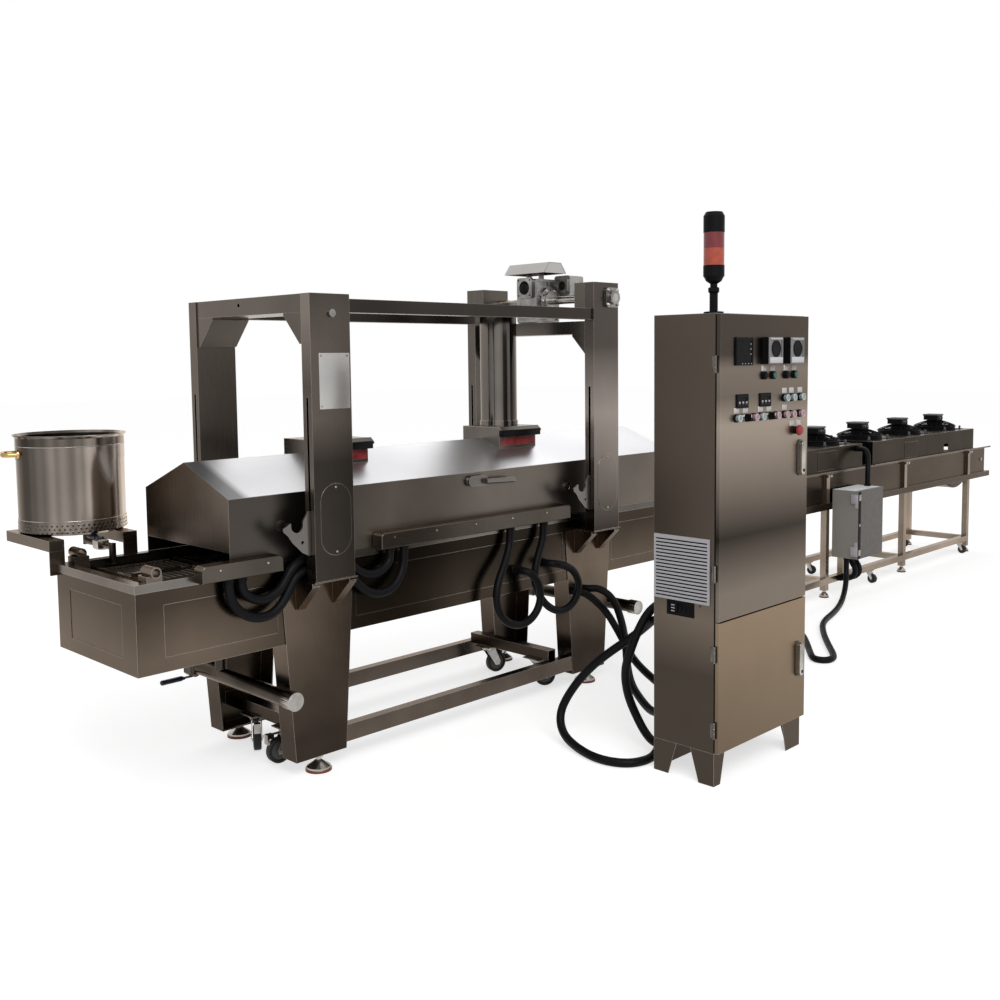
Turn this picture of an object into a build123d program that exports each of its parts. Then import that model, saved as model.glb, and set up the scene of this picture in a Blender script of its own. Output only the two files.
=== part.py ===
from build123d import *
import os
from math import cos, pi, radians, sin, tan

# A continuous fryer line with its lifting hood, control cabinet and cooling conveyor, in millimetres.
# X runs with the food, Y to the back and Z up from the floor. While the pieces are drawn, X = 0 is the
# infeed face of the gantry and Y = 0 the line's centre; at the end all of it moves to the bottom centre.

# Fits and sheets
SEAT_GAP = 0.3
RUNNING_GAP = 0.05
SHEET = 2
PLATE = 4

# Gantry
GANTRY_LENGTH = 1735
GANTRY_WIDTH = 828
COLUMN_WIDTH = 176
COLUMN_DEPTH = 54
COLUMN_WALL = 3
COLUMN_FOOT = 751
INFEED_COLUMN_TOP = 1785
DRIVE_COLUMN_TOP = 1888
HEAD_DEPTH = 61
HEAD_HEIGHT = 119
BEAM_HEIGHT = 50
BEAM_DEPTH = 46
BEAM_SETBACK = 8
END_BEAM_INSET = 5
END_BEAM_HEIGHT = 66
DRIVE_BEAM_WIDTH = 120
DRIVE_BEAM_HEIGHT = 60
DRIVE_BEAM_TOP = 1715
GUSSET_REACH = 116
GUSSET_DROP = 113
GUSSET_LIP = 9
ACCESS_COVER_WIDTH = 136
ACCESS_COVER_HEIGHT = 263
ACCESS_COVER_LOW = 839

# Hood lift
LIFT_TRAVEL = 400
LIFT_SHAFT_RADIUS = 18
LIFT_SHAFT_INSET = 55
LIFT_SHAFT_RISE = 105
SPROCKET_RADIUS = 46
SPROCKET_WIDTH = 12
BEARING_SIZE = 90
BEARING_FLANGE = 12
BEARING_BOSS_RADIUS = 32
BEARING_BOSS = 18
GEARBOX_LENGTH = 170
GEARBOX_DEPTH = 122
GEARBOX_HEIGHT = 210
GEARBOX_FRONT = -36
GEARBOX_RIM = 12
GEARBOX_RECESS = 10
OUTPUT_FLANGE_RADIUS = 66
INPUT_FLANGE = 96
INPUT_BORE = 33
INPUT_BOX = 100
DRIVE_COVER_WIDTH = 160
DRIVE_COVER_FLAT = 85
DRIVE_COVER_LENGTH = 260
DRIVE_COVER_HEIGHT = 50
HOOK_THICKNESS = 8
HOOK_SLOT = 12
HOOK_FOOT = 848
HOOK_HEIGHT = 159
HOOK_THROAT_RADIUS = 26
HOOK_REACH = 60
CARRIAGE_WIDTH = 40
ROD_RADIUS = 12
ROD_LENGTH = 150
ROD_TRAVEL = 90
ROD_HEIGHT = 952
BUSH_RADIUS = 20
BUSH_LENGTH = 45
BUSH_PROUD = 12

# Fryer frame
LEG_FOOT = 60
LEG_FOOT_WIDTH = 230
LEG_HEAD_WIDTH = 326
LEG_SHEET = 4
LEG_DEPTH = 90
FOOT_PLATE = 6
BASE_PLATE = 6
KNEE_DROP = 105
RAIL_LOW = 82
RAIL_HEIGHT = 66
RAIL_DEPTH = 40
RAIL_WALL = 3
CROSS_RAIL_LOW = 140
CROSS_RAIL_SIZE = 50
FOOT_RADIUS = 50
FOOT_STEM_RADIUS = 10
FOOT_INSET = 25

# Oil tank and heaters
TANK_LEFT = -636
TANK_LENGTH = 3300
TANK_WIDTH = 600
TANK_BOTTOM = 514
RIM_TOP = 822
RIM_LIP = 30
RIM_PROUD = 3
TANK_WALL = 38
TANK_FLOOR = 36
PANEL_RECESS = 2
PANEL_BAND = 50
PANEL_CORNER = 100
HEATER_ROD_RADIUS = 6.5
HEATER_LEAD_RISE = 10
HEATER_DEPTH = 600
HEATER_LEGS = 30
HEATER_PITCH = 220
SMALL_COVER_INSET = 75
LONG_COVER_INSET = 110
SMALL_COVER = (-418, -93)
LONG_COVER = (354, 1465)
COVER_DEPTH = 53
SMALL_COVER_LOW = 799
SMALL_COVER_HEIGHT = 59
LONG_COVER_LOW = 815
LONG_COVER_HEIGHT = 63

# Hood
HOOD_LEFT = -277
HOOD_LENGTH = 2583
HOOD_WIDTH = 590
HOOD_EAVE = 1069
HOOD_RIDGE = 1181
HOOD_MOUTH = 880
EXHAUST_SIZE = 240
EXHAUST_TOP = 1234
EXHAUST_X = (360, 1360)
VISOR_REACH = 17
VISOR_HEIGHT = 26
VISOR_DEPTH = 22
STACK_RADIUS = 85
STACK_TOP = 1790
STACK_COLLAR = 25
LEVER_PIVOT = (884, 1032)
LEVER_LENGTH = 236
LEVER_PLATE = 110
LEVER_WIDTH = 44
LEVER_PIN_RADIUS = 8
GRIP_RADIUS = 12

# Fryer conveyor
CONVEYOR_HALF = 240
CONVEYOR_LOW = 640
CONVEYOR_TOP = 790
BELT_THICKNESS = 4
BELT_RADIUS = 65
BELT_HALF = 232
TAIL_X = -455
DRIVE_INSET = 181
DRIVE_SHAFT_RADIUS = 20
SADDLE_X = -563
SADDLE_WIDTH = 55
SADDLE_TUBE_RADIUS = 19
STRIP_WIDTH = 20
STRIP_HEIGHT = 10

# Stock pot on its bracket and the pipes
POT_X = -458
POT_Y = 536
POT_RADIUS = 196
POT_HEIGHT = 373
POT_BASE = 905
POT_WALL = 3
POT_RIM = 10
POT_BAND = 95
POT_SKIRT = 50
POT_STEP = 1.5
POT_HANDLE_TURN = 162
POT_HANDLE_DROP = 72
POT_HANDLE_HALF = 45
POT_HANDLE_REACH = 45
POT_HANDLE_RADIUS = 9
BRACKET_X = (-628, -345)
BRACKET_BAR = 56
BRACKET_HEIGHT = 40
BRACKET_LENGTH = 390
PIPE_RADIUS = 13
POT_PIPE_X = -450
VALVE_Y = 326
DRAIN_RADIUS = 29
DRAIN_X = (-92, 1905)
DRAIN_HEIGHT = 330
DRAIN_BACK = 262
DRAIN_FRONT = -385
VALVE_LEVER = 150
POT_VALVE_LEVER = 95
POT_OUTLET = 90
VALVE_STEM_RADIUS = 6

# Castors
CASTOR_PLATE = 90
CASTOR_RADIUS = 50
CASTOR_WIDTH = 30
CASTOR_TRAIL = 40
CASTOR_CLEAR = 1.5
KINGPIN_RADIUS = 7
CASTOR_AXLE_RADIUS = 6
CASTOR_X = (65, 1430)
CASTOR_Y = (110, 160)
COOLER_CASTOR_RADIUS = 30
COOLER_CASTOR_WIDTH = 22
COOLER_CASTOR_TRAIL = 26

# Control cabinet
CABINET_LEFT = 958
CABINET_WIDTH = 604
CABINET_BACK = -1199
CABINET_DEPTH = 265
CABINET_HEIGHT = 1696
CABINET_SHEET = 2
PLINTH = 122
DOOR_DEPTH = 20
DOOR_SPLIT = 603
DOOR_MARGIN = 2
VENT_Y = (-1436, -1211)
VENT_Z = (669, 890)
VENT_LOUVRES = 17
WINDOW_Y = (-1371, -1265)
WINDOW_Z = (610, 653)
FRONT_CUT = (459, 400)
FRONT_CUT_SHIFT = -31
SIDE_CUT = (134, 61)
GEAR_PITCH = 92
GEAR_WIDTH = 72
GEAR_DEPTH = 80
GEAR_HEIGHTS = (90, 130, 90, 110, 90)
BEZEL_RADIUS = 15
BUTTON_RADIUS = 11
BUTTON_TRAVEL = 5
BUTTON_PROUD = 14
ESTOP_RADIUS = 20
ESTOP_TRAVEL = 6
BUTTONS = {
    "stop_button_1": (1238, 1474),
    "start_button_1": (1299, 1474),
    "stop_button_2": (1393, 1474),
    "start_button_2": (1452, 1474),
}
SELECTORS = {"selector_left": (1115, 1325), "selector_right": (1275, 1325)}
ESTOP_AT = (1467, 1262)
LAMPS = [(1384, 1388), (1435, 1388), (1498, 1388), (1057, 1325), (1169, 1325),
         (1216, 1325), (1321, 1325), (1385, 1325), (1433, 1325), (1496, 1325)]
METERS = [(1102, 1562, 112, 100, 8), (1276, 1564, 98, 98, 30), (1430, 1564, 98, 98, 30),
          (1094, 1385, 76, 50, 6), (1247, 1385, 76, 50, 6)]
UPPER_HANDLE = (1503, 1154)
LOWER_HANDLE = (1507, 364)
HANDLE_LENGTH = 128
HANDLE_WIDTH = 26
HANDLE_DEPTH = 14
TOWER_AT = (1093, -1364)

# Cooling conveyor, set behind the end of the tank
LINE_GAP = 36
COOLER_LEFT = TANK_LEFT + TANK_LENGTH + LINE_GAP
COOLER_LENGTH = 3960
COOLER_RIGHT = COOLER_LEFT + COOLER_LENGTH
COOLER_LEG_INSET = 250
COOLER_LEG_OUTSET = 350
COOLER_LEG_PITCH = (COOLER_LENGTH - COOLER_LEG_INSET - COOLER_LEG_OUTSET) / 3
COOLER_LEGS = [COOLER_LEFT + COOLER_LEG_INSET + COOLER_LEG_PITCH * count for count in range(4)]
COOLER_CASTOR_BACK = (500, 110)
COOLER_LEG_Y = 228
COOLER_TUBE = 40
COOLER_TUBE_WALL = 3
COOLER_LEG_FOOT = 45
TRAY_LOW = 565
TRAY_HEIGHT = 41
TRAY_REACH = 65
TRAY_RIGHT = COOLER_RIGHT + TRAY_REACH
TROUGH_TOP = 790
GUIDE_REACH = 116
GUIDE_RIGHT = COOLER_RIGHT + GUIDE_REACH
GUIDE_HEIGHT = 10
COOLER_RAIL_LOW = 85
COOLER_BELT_RADIUS = 60
COOLER_BELT_HALF = 218
COOLER_ROLLER_SHAFT = 12
FAN_BOX_INSET = 165
FAN_BOX_OUTSET = 190
FAN_BOX_GAP = 155
FAN_BOX_LENGTH = (COOLER_LENGTH - FAN_BOX_INSET - FAN_BOX_OUTSET - FAN_BOX_GAP) / 2
FAN_BOX_LEFTS = (COOLER_LEFT + FAN_BOX_INSET, COOLER_RIGHT - FAN_BOX_OUTSET - FAN_BOX_LENGTH)
FAN_BOXES = [(left, left + FAN_BOX_LENGTH) for left in FAN_BOX_LEFTS]
FAN_BOX_HALF = 214
FAN_BOX_HEIGHT = 155
FAN_MARGIN = 465
FAN_PITCH = (FAN_BOX_LENGTH - FAN_MARGIN) / 2
FAN_RADIUS = 150
FAN_RING = 30
FAN_MOTOR_RADIUS = 55
FAN_MOTOR_HEIGHT = 78
TERMINAL_SIZE = 110
TERMINAL_HEIGHT = 42
HATCH_RUNS = ((492, 706), (1130, 1375))
HATCH_RISES = ((808, 920), (814, 934))
SLOT_RUN = (1166, 1243)
SLOT_RISE = (809, 870)
PAN_RUN = (-585, -160)
PAN_HALF = 150
PAN_DEPTH = 67
JUNCTION_CLEAR = 57
JUNCTION_LEFT = COOLER_LEGS[1] + JUNCTION_CLEAR
JUNCTION_WIDTH = 340
JUNCTION_DEPTH = 156
JUNCTION_LOW = 258
JUNCTION_HEIGHT = 434
JUNCTION_DOOR = 20

# Conduits: their size, the glands that hold their ends and the hand-laid points of each route
CONDUIT_RADIUS = 17
GLAND_RADIUS = 20
GLAND_LENGTH = 14


def from_box(points):
    """Points along the line counted from the junction box."""
    return [(JUNCTION_LEFT + along, y, z) for along, y, z in points]


ROUTES = {
    "jumper_upper": [(-255, -328, 785), (-255, -328, 735), (-232, -335, 678), (-175, -339, 652),
                     (-118, -338, 682),
                     (-88, -335, 745), (-50, -333, 800), (10, -331, 832), (80, -331, 838), (150, -331, 828),
                     (205, -332, 790), (250, -335, 745), (305, -337, 722), (362, -335, 728),
                     (404, -332, 758),
                     (412, -330, 778), (412, -330, 801)],
    "jumper_lower": [(-305, -328, 785), (-305, -328, 720), (-288, -337, 645), (-232, -343, 590),
                     (-152, -343, 583),
                     (-95, -340, 638), (-62, -337, 715), (-28, -334, 775), (45, -331, 792),
                     (120, -331, 790),
                     (188, -333, 772), (232, -337, 712), (285, -341, 660), (355, -342, 640),
                     (425, -340, 660),
                     (470, -334, 715), (484, -330, 762), (484, -330, 801)],
    "loop_left": [(1090, -328, 801), (1090, -328, 742), (1040, -344, 665), (978, -356, 585),
                  (960, -366, 490),
                  (1008, -374, 415), (1090, -382, 385), (1170, -386, 408), (1220, -386, 470),
                  (1215, -385, 550),
                  (1180, -372, 602), (1155, -350, 615), (1155, -311, 615)],
    "loop_right": [(1305, -328, 801), (1305, -328, 742), (1250, -344, 670), (1212, -352, 585),
                   (1228, -362, 500),
                   (1290, -372, 428), (1375, -380, 398), (1455, -382, 432), (1492, -380, 505),
                   (1460, -378, 572),
                   (1402, -376, 606), (1347, -370, 622), (1320, -349, 625), (1320, -311, 625)],
    "leg_upper": [(1572, -315, 470), (1572, -352, 470), (1620, -395, 472), (1648, -455, 425),
                  (1600, -540, 340),
                  (1520, -625, 268), (1432, -700, 206), (1357, -780, 150), (1278, -900, 118),
                  (1205, -1010, 112),
                  (1165, -1105, 150), (1165, -1181, 150)],
    "leg_lower": [(1531, -315, 462), (1531, -349, 462), (1548, -372, 452), (1590, -388, 418),
                  (1635, -420, 362), (1636, -485, 285), (1600, -570, 220), (1520, -680, 192),
                  (1443, -830, 165), (1370, -960, 162), (1330, -1085, 200), (1330, -1181, 200)],
    "cabinet_drop": [(1112, -1181, 610), (1112, -1135, 610), (1058, -1100, 572), (1008, -1080, 490),
                     (1003, -1050, 410), (1022, -1010, 325), (1062, -990, 223), (1098, -1005, 130),
                     (1090, -1060, 68), (1070, -1120, 48), (1070, -1181, 48)],
    "cabinet_loop": [(1060, -1181, 545), (1060, -1125, 545), (1098, -1060, 500), (1105, -985, 440),
                     (1069, -900, 372),
                     (1040, -810, 290), (999, -745, 191), (960, -722, 105), (925, -770, 40),
                     (885, -885, 18),
                     (852, -1020, 17.5), (890, -1125, 17), (985, -1160, 17.5), (1080, -1125, 18),
                     (1148, -1080, 20),
                     (1205, -1068, 33), (1240, -1102, 42), (1240, -1142, 45), (1240, -1181, 45)],
    "box_to_cabinet": from_box([(38, -330, 244), (38, -330, 180), (-2, -350, 100), (-92, -382, 42),
                                (-247, -440, 17.5), (-472, -516, 18), (-727, -578, 17.5), (-932, -690, 17),
                                (-1148, -835, 17.5), (-1307, -950, 18), (-1382, -992, 17.5),
                                (-1447, -985, 17), (-1465, -925, 17.5), (-1382, -862, 18),
                                (-1222, -755, 17.5), (-1047, -630, 17), (-977, -520, 17.5),
                                (-1047, -440, 18), (-1227, -470, 17.5), (-1517, -570, 17)])
    + [(2280, -690, 17.5), (1960, -830, 18), (1680, -930, 22), (1530, -990, 45), (1480, -1090, 60),
       (1480, -1181, 60)],
    "box_to_rail_1": from_box([(105, -330, 244), (105, -330, 216), (105, -356, 186), (105, -357, 140),
                               (105, -314, 105), (105, -262, 105)]),
    "box_to_rail_2": from_box([(163, -330, 244), (163, -330, 216), (163, -356, 186), (163, -357, 140),
                               (163, -314, 105), (163, -262, 105)]),
    "box_to_fans": from_box([(313, -330, 706), (313, -330, 765), (325, -325, 820), (351, -312, 868),
                             (378, -290, 910), (393, -258, 925), (393, -228, 925)]),
}

# Places that follow from the sizes above
FRONT = -GANTRY_WIDTH / 2
COLUMN_INNER = FRONT + COLUMN_DEPTH
DRIVE_COLUMN_LEFT = GANTRY_LENGTH - COLUMN_WIDTH
COLUMN_LEFTS = (0, DRIVE_COLUMN_LEFT)
COLUMN_MIDDLES = (COLUMN_WIDTH / 2, GANTRY_LENGTH - COLUMN_WIDTH / 2)
COLUMN_SEAT = COLUMN_FOOT - BASE_PLATE
BEAM_TOP = DRIVE_COLUMN_TOP - HEAD_HEIGHT
HOOK_Y = FRONT + COLUMN_DEPTH / 2
LIFT_SHAFT_X = GANTRY_LENGTH - LIFT_SHAFT_INSET
LIFT_SHAFT_Z = DRIVE_BEAM_TOP + LIFT_SHAFT_RISE
SKIN = TANK_WIDTH / 2 - RIM_PROUD
LEG_FRONT = -SKIN - LEG_SHEET
TANK_RIGHT = TANK_LEFT + TANK_LENGTH
TANK_INNER = TANK_WIDTH / 2 - TANK_WALL
DRIVE_X = TANK_RIGHT - DRIVE_INSET
HOOD_RIGHT = HOOD_LEFT + HOOD_LENGTH
HOOD_HALF = HOOD_WIDTH / 2
HOOD_FOOT = RIM_TOP + SEAT_GAP
HEATER_LEAD_Z = RIM_TOP + HEATER_LEAD_RISE
HEATER_X = [SMALL_COVER[0] + SMALL_COVER_INSET, SMALL_COVER[1] - SMALL_COVER_INSET]
HEATER_X += [LONG_COVER[0] + LONG_COVER_INSET + HEATER_PITCH * count for count in range(5)]
ROD_X = [left - HOOK_REACH for left in COLUMN_LEFTS]
BELT_Z = CONVEYOR_TOP - 9 - BELT_RADIUS
CASTOR_AXLE_Z = CASTOR_CLEAR + CASTOR_RADIUS
CASTOR_TOP = CROSS_RAIL_LOW
COOLER_CASTOR_X = [leg - back for leg, back in zip(COOLER_LEGS[2:], COOLER_CASTOR_BACK)]
CABINET_RIGHT = CABINET_LEFT + CABINET_WIDTH
CABINET_FRONT = CABINET_BACK - CABINET_DEPTH
DOOR_FACE = CABINET_FRONT - SEAT_GAP - DOOR_DEPTH
TROUGH_LOW = TRAY_LOW + TRAY_HEIGHT
FAN_BOX_LOW = TROUGH_TOP + GUIDE_HEIGHT
FAN_BOX_TOP = FAN_BOX_LOW + FAN_BOX_HEIGHT
HATCHES = [((left + run[0], left + run[1]), rise)
           for left, run, rise in zip(FAN_BOX_LEFTS[::-1], HATCH_RUNS, HATCH_RISES)]
SLOT_WINDOW = ((FAN_BOX_LEFTS[1] + SLOT_RUN[0], FAN_BOX_LEFTS[1] + SLOT_RUN[1]), SLOT_RISE)
PAN_X = (COOLER_RIGHT + PAN_RUN[0], COOLER_RIGHT + PAN_RUN[1])
FAN_X = [(left + right) / 2 + FAN_PITCH * step for left, right in FAN_BOXES for step in (-1, 0, 1)]
COOLER_BELT_Z = TROUGH_TOP - 25 - COOLER_BELT_RADIUS
COOLER_DRIVE_X = COOLER_RIGHT - COOLER_BELT_RADIUS - 20
COOLER_TAIL_X = COOLER_LEFT + COOLER_BELT_RADIUS + 20
JUNCTION_BACK = -COOLER_LEG_Y - COOLER_TUBE / 2
JUNCTION_FRONT = JUNCTION_BACK - JUNCTION_DEPTH
JUNCTION_RIGHT = JUNCTION_LEFT + JUNCTION_WIDTH
JUNCTION_TOP = JUNCTION_LOW + JUNCTION_HEIGHT
JUNCTION_POST_X = JUNCTION_LEFT + JUNCTION_WIDTH / 2


# Shapes
def block(x, y, z):
    """A rectangular solid between low and high along X, Y and Z."""
    size = [high - low for low, high in (x, y, z)]
    middle = [(high + low) / 2 for low, high in (x, y, z)]
    return Pos(*middle) * Box(*size)


def around(middle, size):
    """The low and high ends of a length about its middle."""
    return (middle - size / 2, middle + size / 2)


def outline(*points):
    return Polygon(*points, align=None)


def prism_x(sketch, x):
    """A sketch drawn in Y and Z, run along X."""
    return Pos(x[0], 0, 0) * extrude(Plane.YZ * sketch, x[1] - x[0], dir=(1, 0, 0))


def prism_y(sketch, y):
    """A sketch drawn in X and Z, run along Y."""
    return Pos(0, y[0], 0) * extrude(Plane.XZ * sketch, y[1] - y[0], dir=(0, 1, 0))


def prism_z(sketch, z):
    return Pos(0, 0, z[0]) * extrude(sketch, z[1] - z[0], dir=(0, 0, 1))


def rod(start, end, radius):
    """A round bar between two points."""
    run = Vector(*end) - Vector(*start)
    return extrude(Plane(origin=start, z_dir=run) * Circle(radius), run.length)


def pipe(start, end, radius, bore):
    return rod(start, end, radius) - rod(start, end, bore)


def turned(profile, at, axis=(0, 0, 1)):
    """A profile of radius and height points turned about an axis."""
    shape = revolve(Plane.XZ * outline(*profile), Axis.Z)
    return Plane(origin=at, z_dir=axis).location * shape


def tube_y(x, y, z, wall):
    """A square tube along Y with open ends."""
    inner = [(low + wall, high - wall) for low, high in (x, z)]
    return block(x, y, z) - block(inner[0], (y[0] - 1, y[1] + 1), inner[1])


def tube_z(x, y, z, wall):
    inner = [(low + wall, high - wall) for low, high in (x, y)]
    return block(x, y, z) - block(*inner, (z[0] - 1, z[1] + 1))


def tube_x(x, y, z, wall):
    inner = [(low + wall, high - wall) for low, high in (y, z)]
    return block(x, y, z) - block((x[0] - 1, x[1] + 1), *inner)


def both(*shapes):
    """Pieces of the front side with their mirror images on the back side."""
    return [copy for shape in shapes for copy in (shape, mirror(shape, about=Plane.XZ))]


def place(shape, at, heading=0):
    return Pos(*at) * Rot(0, 0, heading) * shape


# Fryer frame
def leg_half(z):
    share = (z - LEG_FOOT) / (COLUMN_SEAT - LEG_FOOT)
    return (LEG_FOOT_WIDTH + (LEG_HEAD_WIDTH - LEG_FOOT_WIDTH) * share) / 2


def leg_outline(middle, low, high, inset=0):
    """The tapered face of a folded leg between two heights."""
    foot = leg_half(low) - inset
    head = leg_half(high) - inset
    return outline((middle - foot, low), (middle + foot, low), (middle + head, high), (middle - head, high))


def leg(middle):
    """A folded leg: a web up to the column and a channel under the tank."""
    back = LEG_FRONT + LEG_DEPTH
    web = prism_y(leg_outline(middle, LEG_FOOT, COLUMN_SEAT), (LEG_FRONT, LEG_FRONT + LEG_SHEET))
    channel = prism_y(leg_outline(middle, LEG_FOOT, TANK_BOTTOM), (LEG_FRONT + LEG_SHEET, back))
    hollow = leg_outline(middle, LEG_FOOT + FOOT_PLATE, TANK_BOTTOM - FOOT_PLATE, LEG_SHEET)
    return web + (channel - prism_y(hollow, (LEG_FRONT + LEG_SHEET, back + 1)))


def long_rail():
    """The lower rail between two legs, cut to their taper."""
    left, right = COLUMN_MIDDLES
    low, high = RAIL_LOW, RAIL_LOW + RAIL_HEIGHT
    front = LEG_FRONT + LEG_SHEET / 2
    face = outline((left + leg_half(low), low), (right - leg_half(low), low),
                   (right - leg_half(high), high), (left + leg_half(high), high))
    hollow = block((left, right), (front + RAIL_WALL, front + RAIL_DEPTH - RAIL_WALL),
                   (low + RAIL_WALL, high - RAIL_WALL))
    return prism_y(face, (front, front + RAIL_DEPTH)) - hollow


def knee(x):
    """A folded bracket under the outer edge of a column's base plate."""
    edge = FRONT + 8
    low = COLUMN_SEAT - KNEE_DROP
    cheek = outline((LEG_FRONT, COLUMN_SEAT), (edge, COLUMN_SEAT), (edge, COLUMN_SEAT - 10),
                    (LEG_FRONT - 8, low), (LEG_FRONT, low))
    slope = outline((edge, COLUMN_SEAT - 10), (edge, COLUMN_SEAT - 10 - PLATE * 1.4),
                    (LEG_FRONT - 8, low - PLATE * 1.4), (LEG_FRONT - 8, low))
    return prism_x(cheek, (x, x + PLATE)) + prism_x(slope, (x, x + 34))


def castor_seat(x, y):
    """A castor's top plate with its kingpin."""
    low = CASTOR_TOP - 5
    plate = block(around(x, CASTOR_PLATE), around(y, CASTOR_PLATE), (low, CASTOR_TOP))
    return plate + rod((x, y, low - 16), (x, y, low), KINGPIN_RADIUS)


def make_fryer_frame():
    solids = []
    for middle, left in zip(COLUMN_MIDDLES, COLUMN_LEFTS):
        solids += both(leg(middle))
        plate_y = (FRONT - 4, LEG_FRONT + LEG_SHEET)
        solids += both(block((left - 8, left + COLUMN_WIDTH + 8), plate_y, (COLUMN_SEAT, COLUMN_FOOT)))
        solids += both(knee(middle - 100), knee(middle + 66))
    solids += both(long_rail())
    ends = (-LEG_FRONT - LEG_SHEET, -LEG_FRONT - LEG_SHEET / 2 - RAIL_DEPTH)
    for x, y, end in zip(CASTOR_X, CASTOR_Y, ends):
        height = (CROSS_RAIL_LOW, CROSS_RAIL_LOW + CROSS_RAIL_SIZE)
        solids.append(tube_y(around(x, CROSS_RAIL_SIZE), (-end, end), height, RAIL_WALL))
        solids += both(castor_seat(x, -y))
    solids += [gland(ROUTES[name][0], (0, 1, 0)) for name in ("leg_upper", "leg_lower")]
    return solids


def foot(x, y, base, stem, top):
    """A levelling foot: a rubber base, a cone and a stem with its nut under the plate."""
    profile = [(0, 0), (base, 0), (base, 8), (base * 0.92, 9), (base * 0.92, 16), (stem * 2, 34),
               (stem, 42), (stem, top - 9), (stem * 1.8, top - 9), (stem * 1.8, top), (0, top)]
    return turned(profile, (x, y, 0))


def make_levelling_feet():
    solids = []
    for middle in COLUMN_MIDDLES:
        solids += both(foot(middle, LEG_FRONT + FOOT_INSET, FOOT_RADIUS, FOOT_STEM_RADIUS, LEG_FOOT))
    for x in COOLER_LEGS:
        solids += both(foot(x, -COOLER_LEG_Y, FOOT_RADIUS * 0.6, FOOT_STEM_RADIUS * 0.6, COOLER_LEG_FOOT))
    return solids


# Castors
def castor_fork():
    """A swivelling fork whose wheel trails along +X."""
    crown = CASTOR_TOP - 5 - SEAT_GAP
    low = crown - 18
    body = turned([(0, low), (26, low), (34, crown - 8), (34, crown), (0, crown)], (0, 0, 0))
    body -= rod((0, 0, low - 1), (0, 0, crown + 1), KINGPIN_RADIUS + RUNNING_GAP)
    cheek = outline((-24, low + 6), (26, low + 6), (CASTOR_TRAIL + 16, CASTOR_AXLE_Z + 4),
                    (CASTOR_TRAIL + 10, CASTOR_AXLE_Z - 13), (CASTOR_TRAIL - 12, CASTOR_AXLE_Z - 13))
    gap = CASTOR_WIDTH / 2 + 2
    cheeks = prism_y(cheek, (gap, gap + 4)) + prism_y(cheek, (-gap - 4, -gap))
    crown_plate = block((-24, 26), (-gap - 4, gap + 4), (low, low + 6))
    crown_plate -= rod((0, 0, low - 1), (0, 0, crown + 1), KINGPIN_RADIUS + RUNNING_GAP)
    axle = rod((CASTOR_TRAIL, -gap - 8, CASTOR_AXLE_Z), (CASTOR_TRAIL, gap + 8, CASTOR_AXLE_Z),
               CASTOR_AXLE_RADIUS)
    top = CASTOR_AXLE_Z + CASTOR_RADIUS
    tip = CASTOR_TRAIL + CASTOR_RADIUS + 4
    brake = block((26, tip - 12), (-6, 6), (low, low + 5)) + block((tip - 28, tip), (-13, 13),
                                                                   (top + 3, low + 5))
    brake += block((tip - 9, tip), (-13, 13), (top - 18, top + 3))
    return body + crown_plate + cheeks + axle + brake


def castor_wheel():
    """A tyre on a hub, both turned about the axle."""
    half = CASTOR_WIDTH / 2
    bore = CASTOR_AXLE_RADIUS + RUNNING_GAP
    tyre = CASTOR_RADIUS
    profile = [(bore, -half - 1), (18, -half - 1), (18, -half + 5), (tyre - 14, -half + 5),
               (tyre - 12, -half), (tyre - 4, -half), (tyre, -half + 4), (tyre, half - 4), (tyre - 4, half),
               (tyre - 12, half), (tyre - 14, half - 5), (18, half - 5), (18, half + 1), (bore, half + 1)]
    return turned(profile, (CASTOR_TRAIL, 0, CASTOR_AXLE_Z), (0, 1, 0))


CASTORS = {
    "front_left": (CASTOR_X[0], -CASTOR_Y[0], 175),
    "back_left": (CASTOR_X[0], CASTOR_Y[0], 240),
    "front_right": (CASTOR_X[1], -CASTOR_Y[1], 325),
    "back_right": (CASTOR_X[1], CASTOR_Y[1], 345),
}


def cooler_castor():
    """A small castor with its wheel, trailing along +X."""
    top = COOLER_RAIL_LOW - 4 - SEAT_GAP
    axle = CASTOR_CLEAR + COOLER_CASTOR_RADIUS
    half = COOLER_CASTOR_WIDTH / 2
    crown = rod((0, 0, top - 10), (0, 0, top), 22) - rod((0, 0, top - 11), (0, 0, top + 1), 6 + RUNNING_GAP)
    cheek = outline((-16, top - 6), (18, top - 6), (COOLER_CASTOR_TRAIL + 9, axle),
                    (COOLER_CASTOR_TRAIL, axle - 9), (COOLER_CASTOR_TRAIL - 9, axle))
    fork = crown + prism_y(cheek, (half + 1, half + 4)) + prism_y(cheek, (-half - 4, -half - 1))
    fork += rod((COOLER_CASTOR_TRAIL, -half - 6, axle), (COOLER_CASTOR_TRAIL, half + 6, axle), 4)
    wheel = pipe((COOLER_CASTOR_TRAIL, -half, axle), (COOLER_CASTOR_TRAIL, half, axle),
                 COOLER_CASTOR_RADIUS, 4)
    return [fork, wheel]


COOLER_CASTORS = {
    "cooler_castor_1": (COOLER_CASTOR_X[0], -COOLER_LEG_Y, 262),
    "cooler_castor_2": (COOLER_CASTOR_X[0], COOLER_LEG_Y, 280),
    "cooler_castor_3": (COOLER_CASTOR_X[1], -COOLER_LEG_Y, 270),
    "cooler_castor_4": (COOLER_CASTOR_X[1], COOLER_LEG_Y, 250),
}


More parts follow.
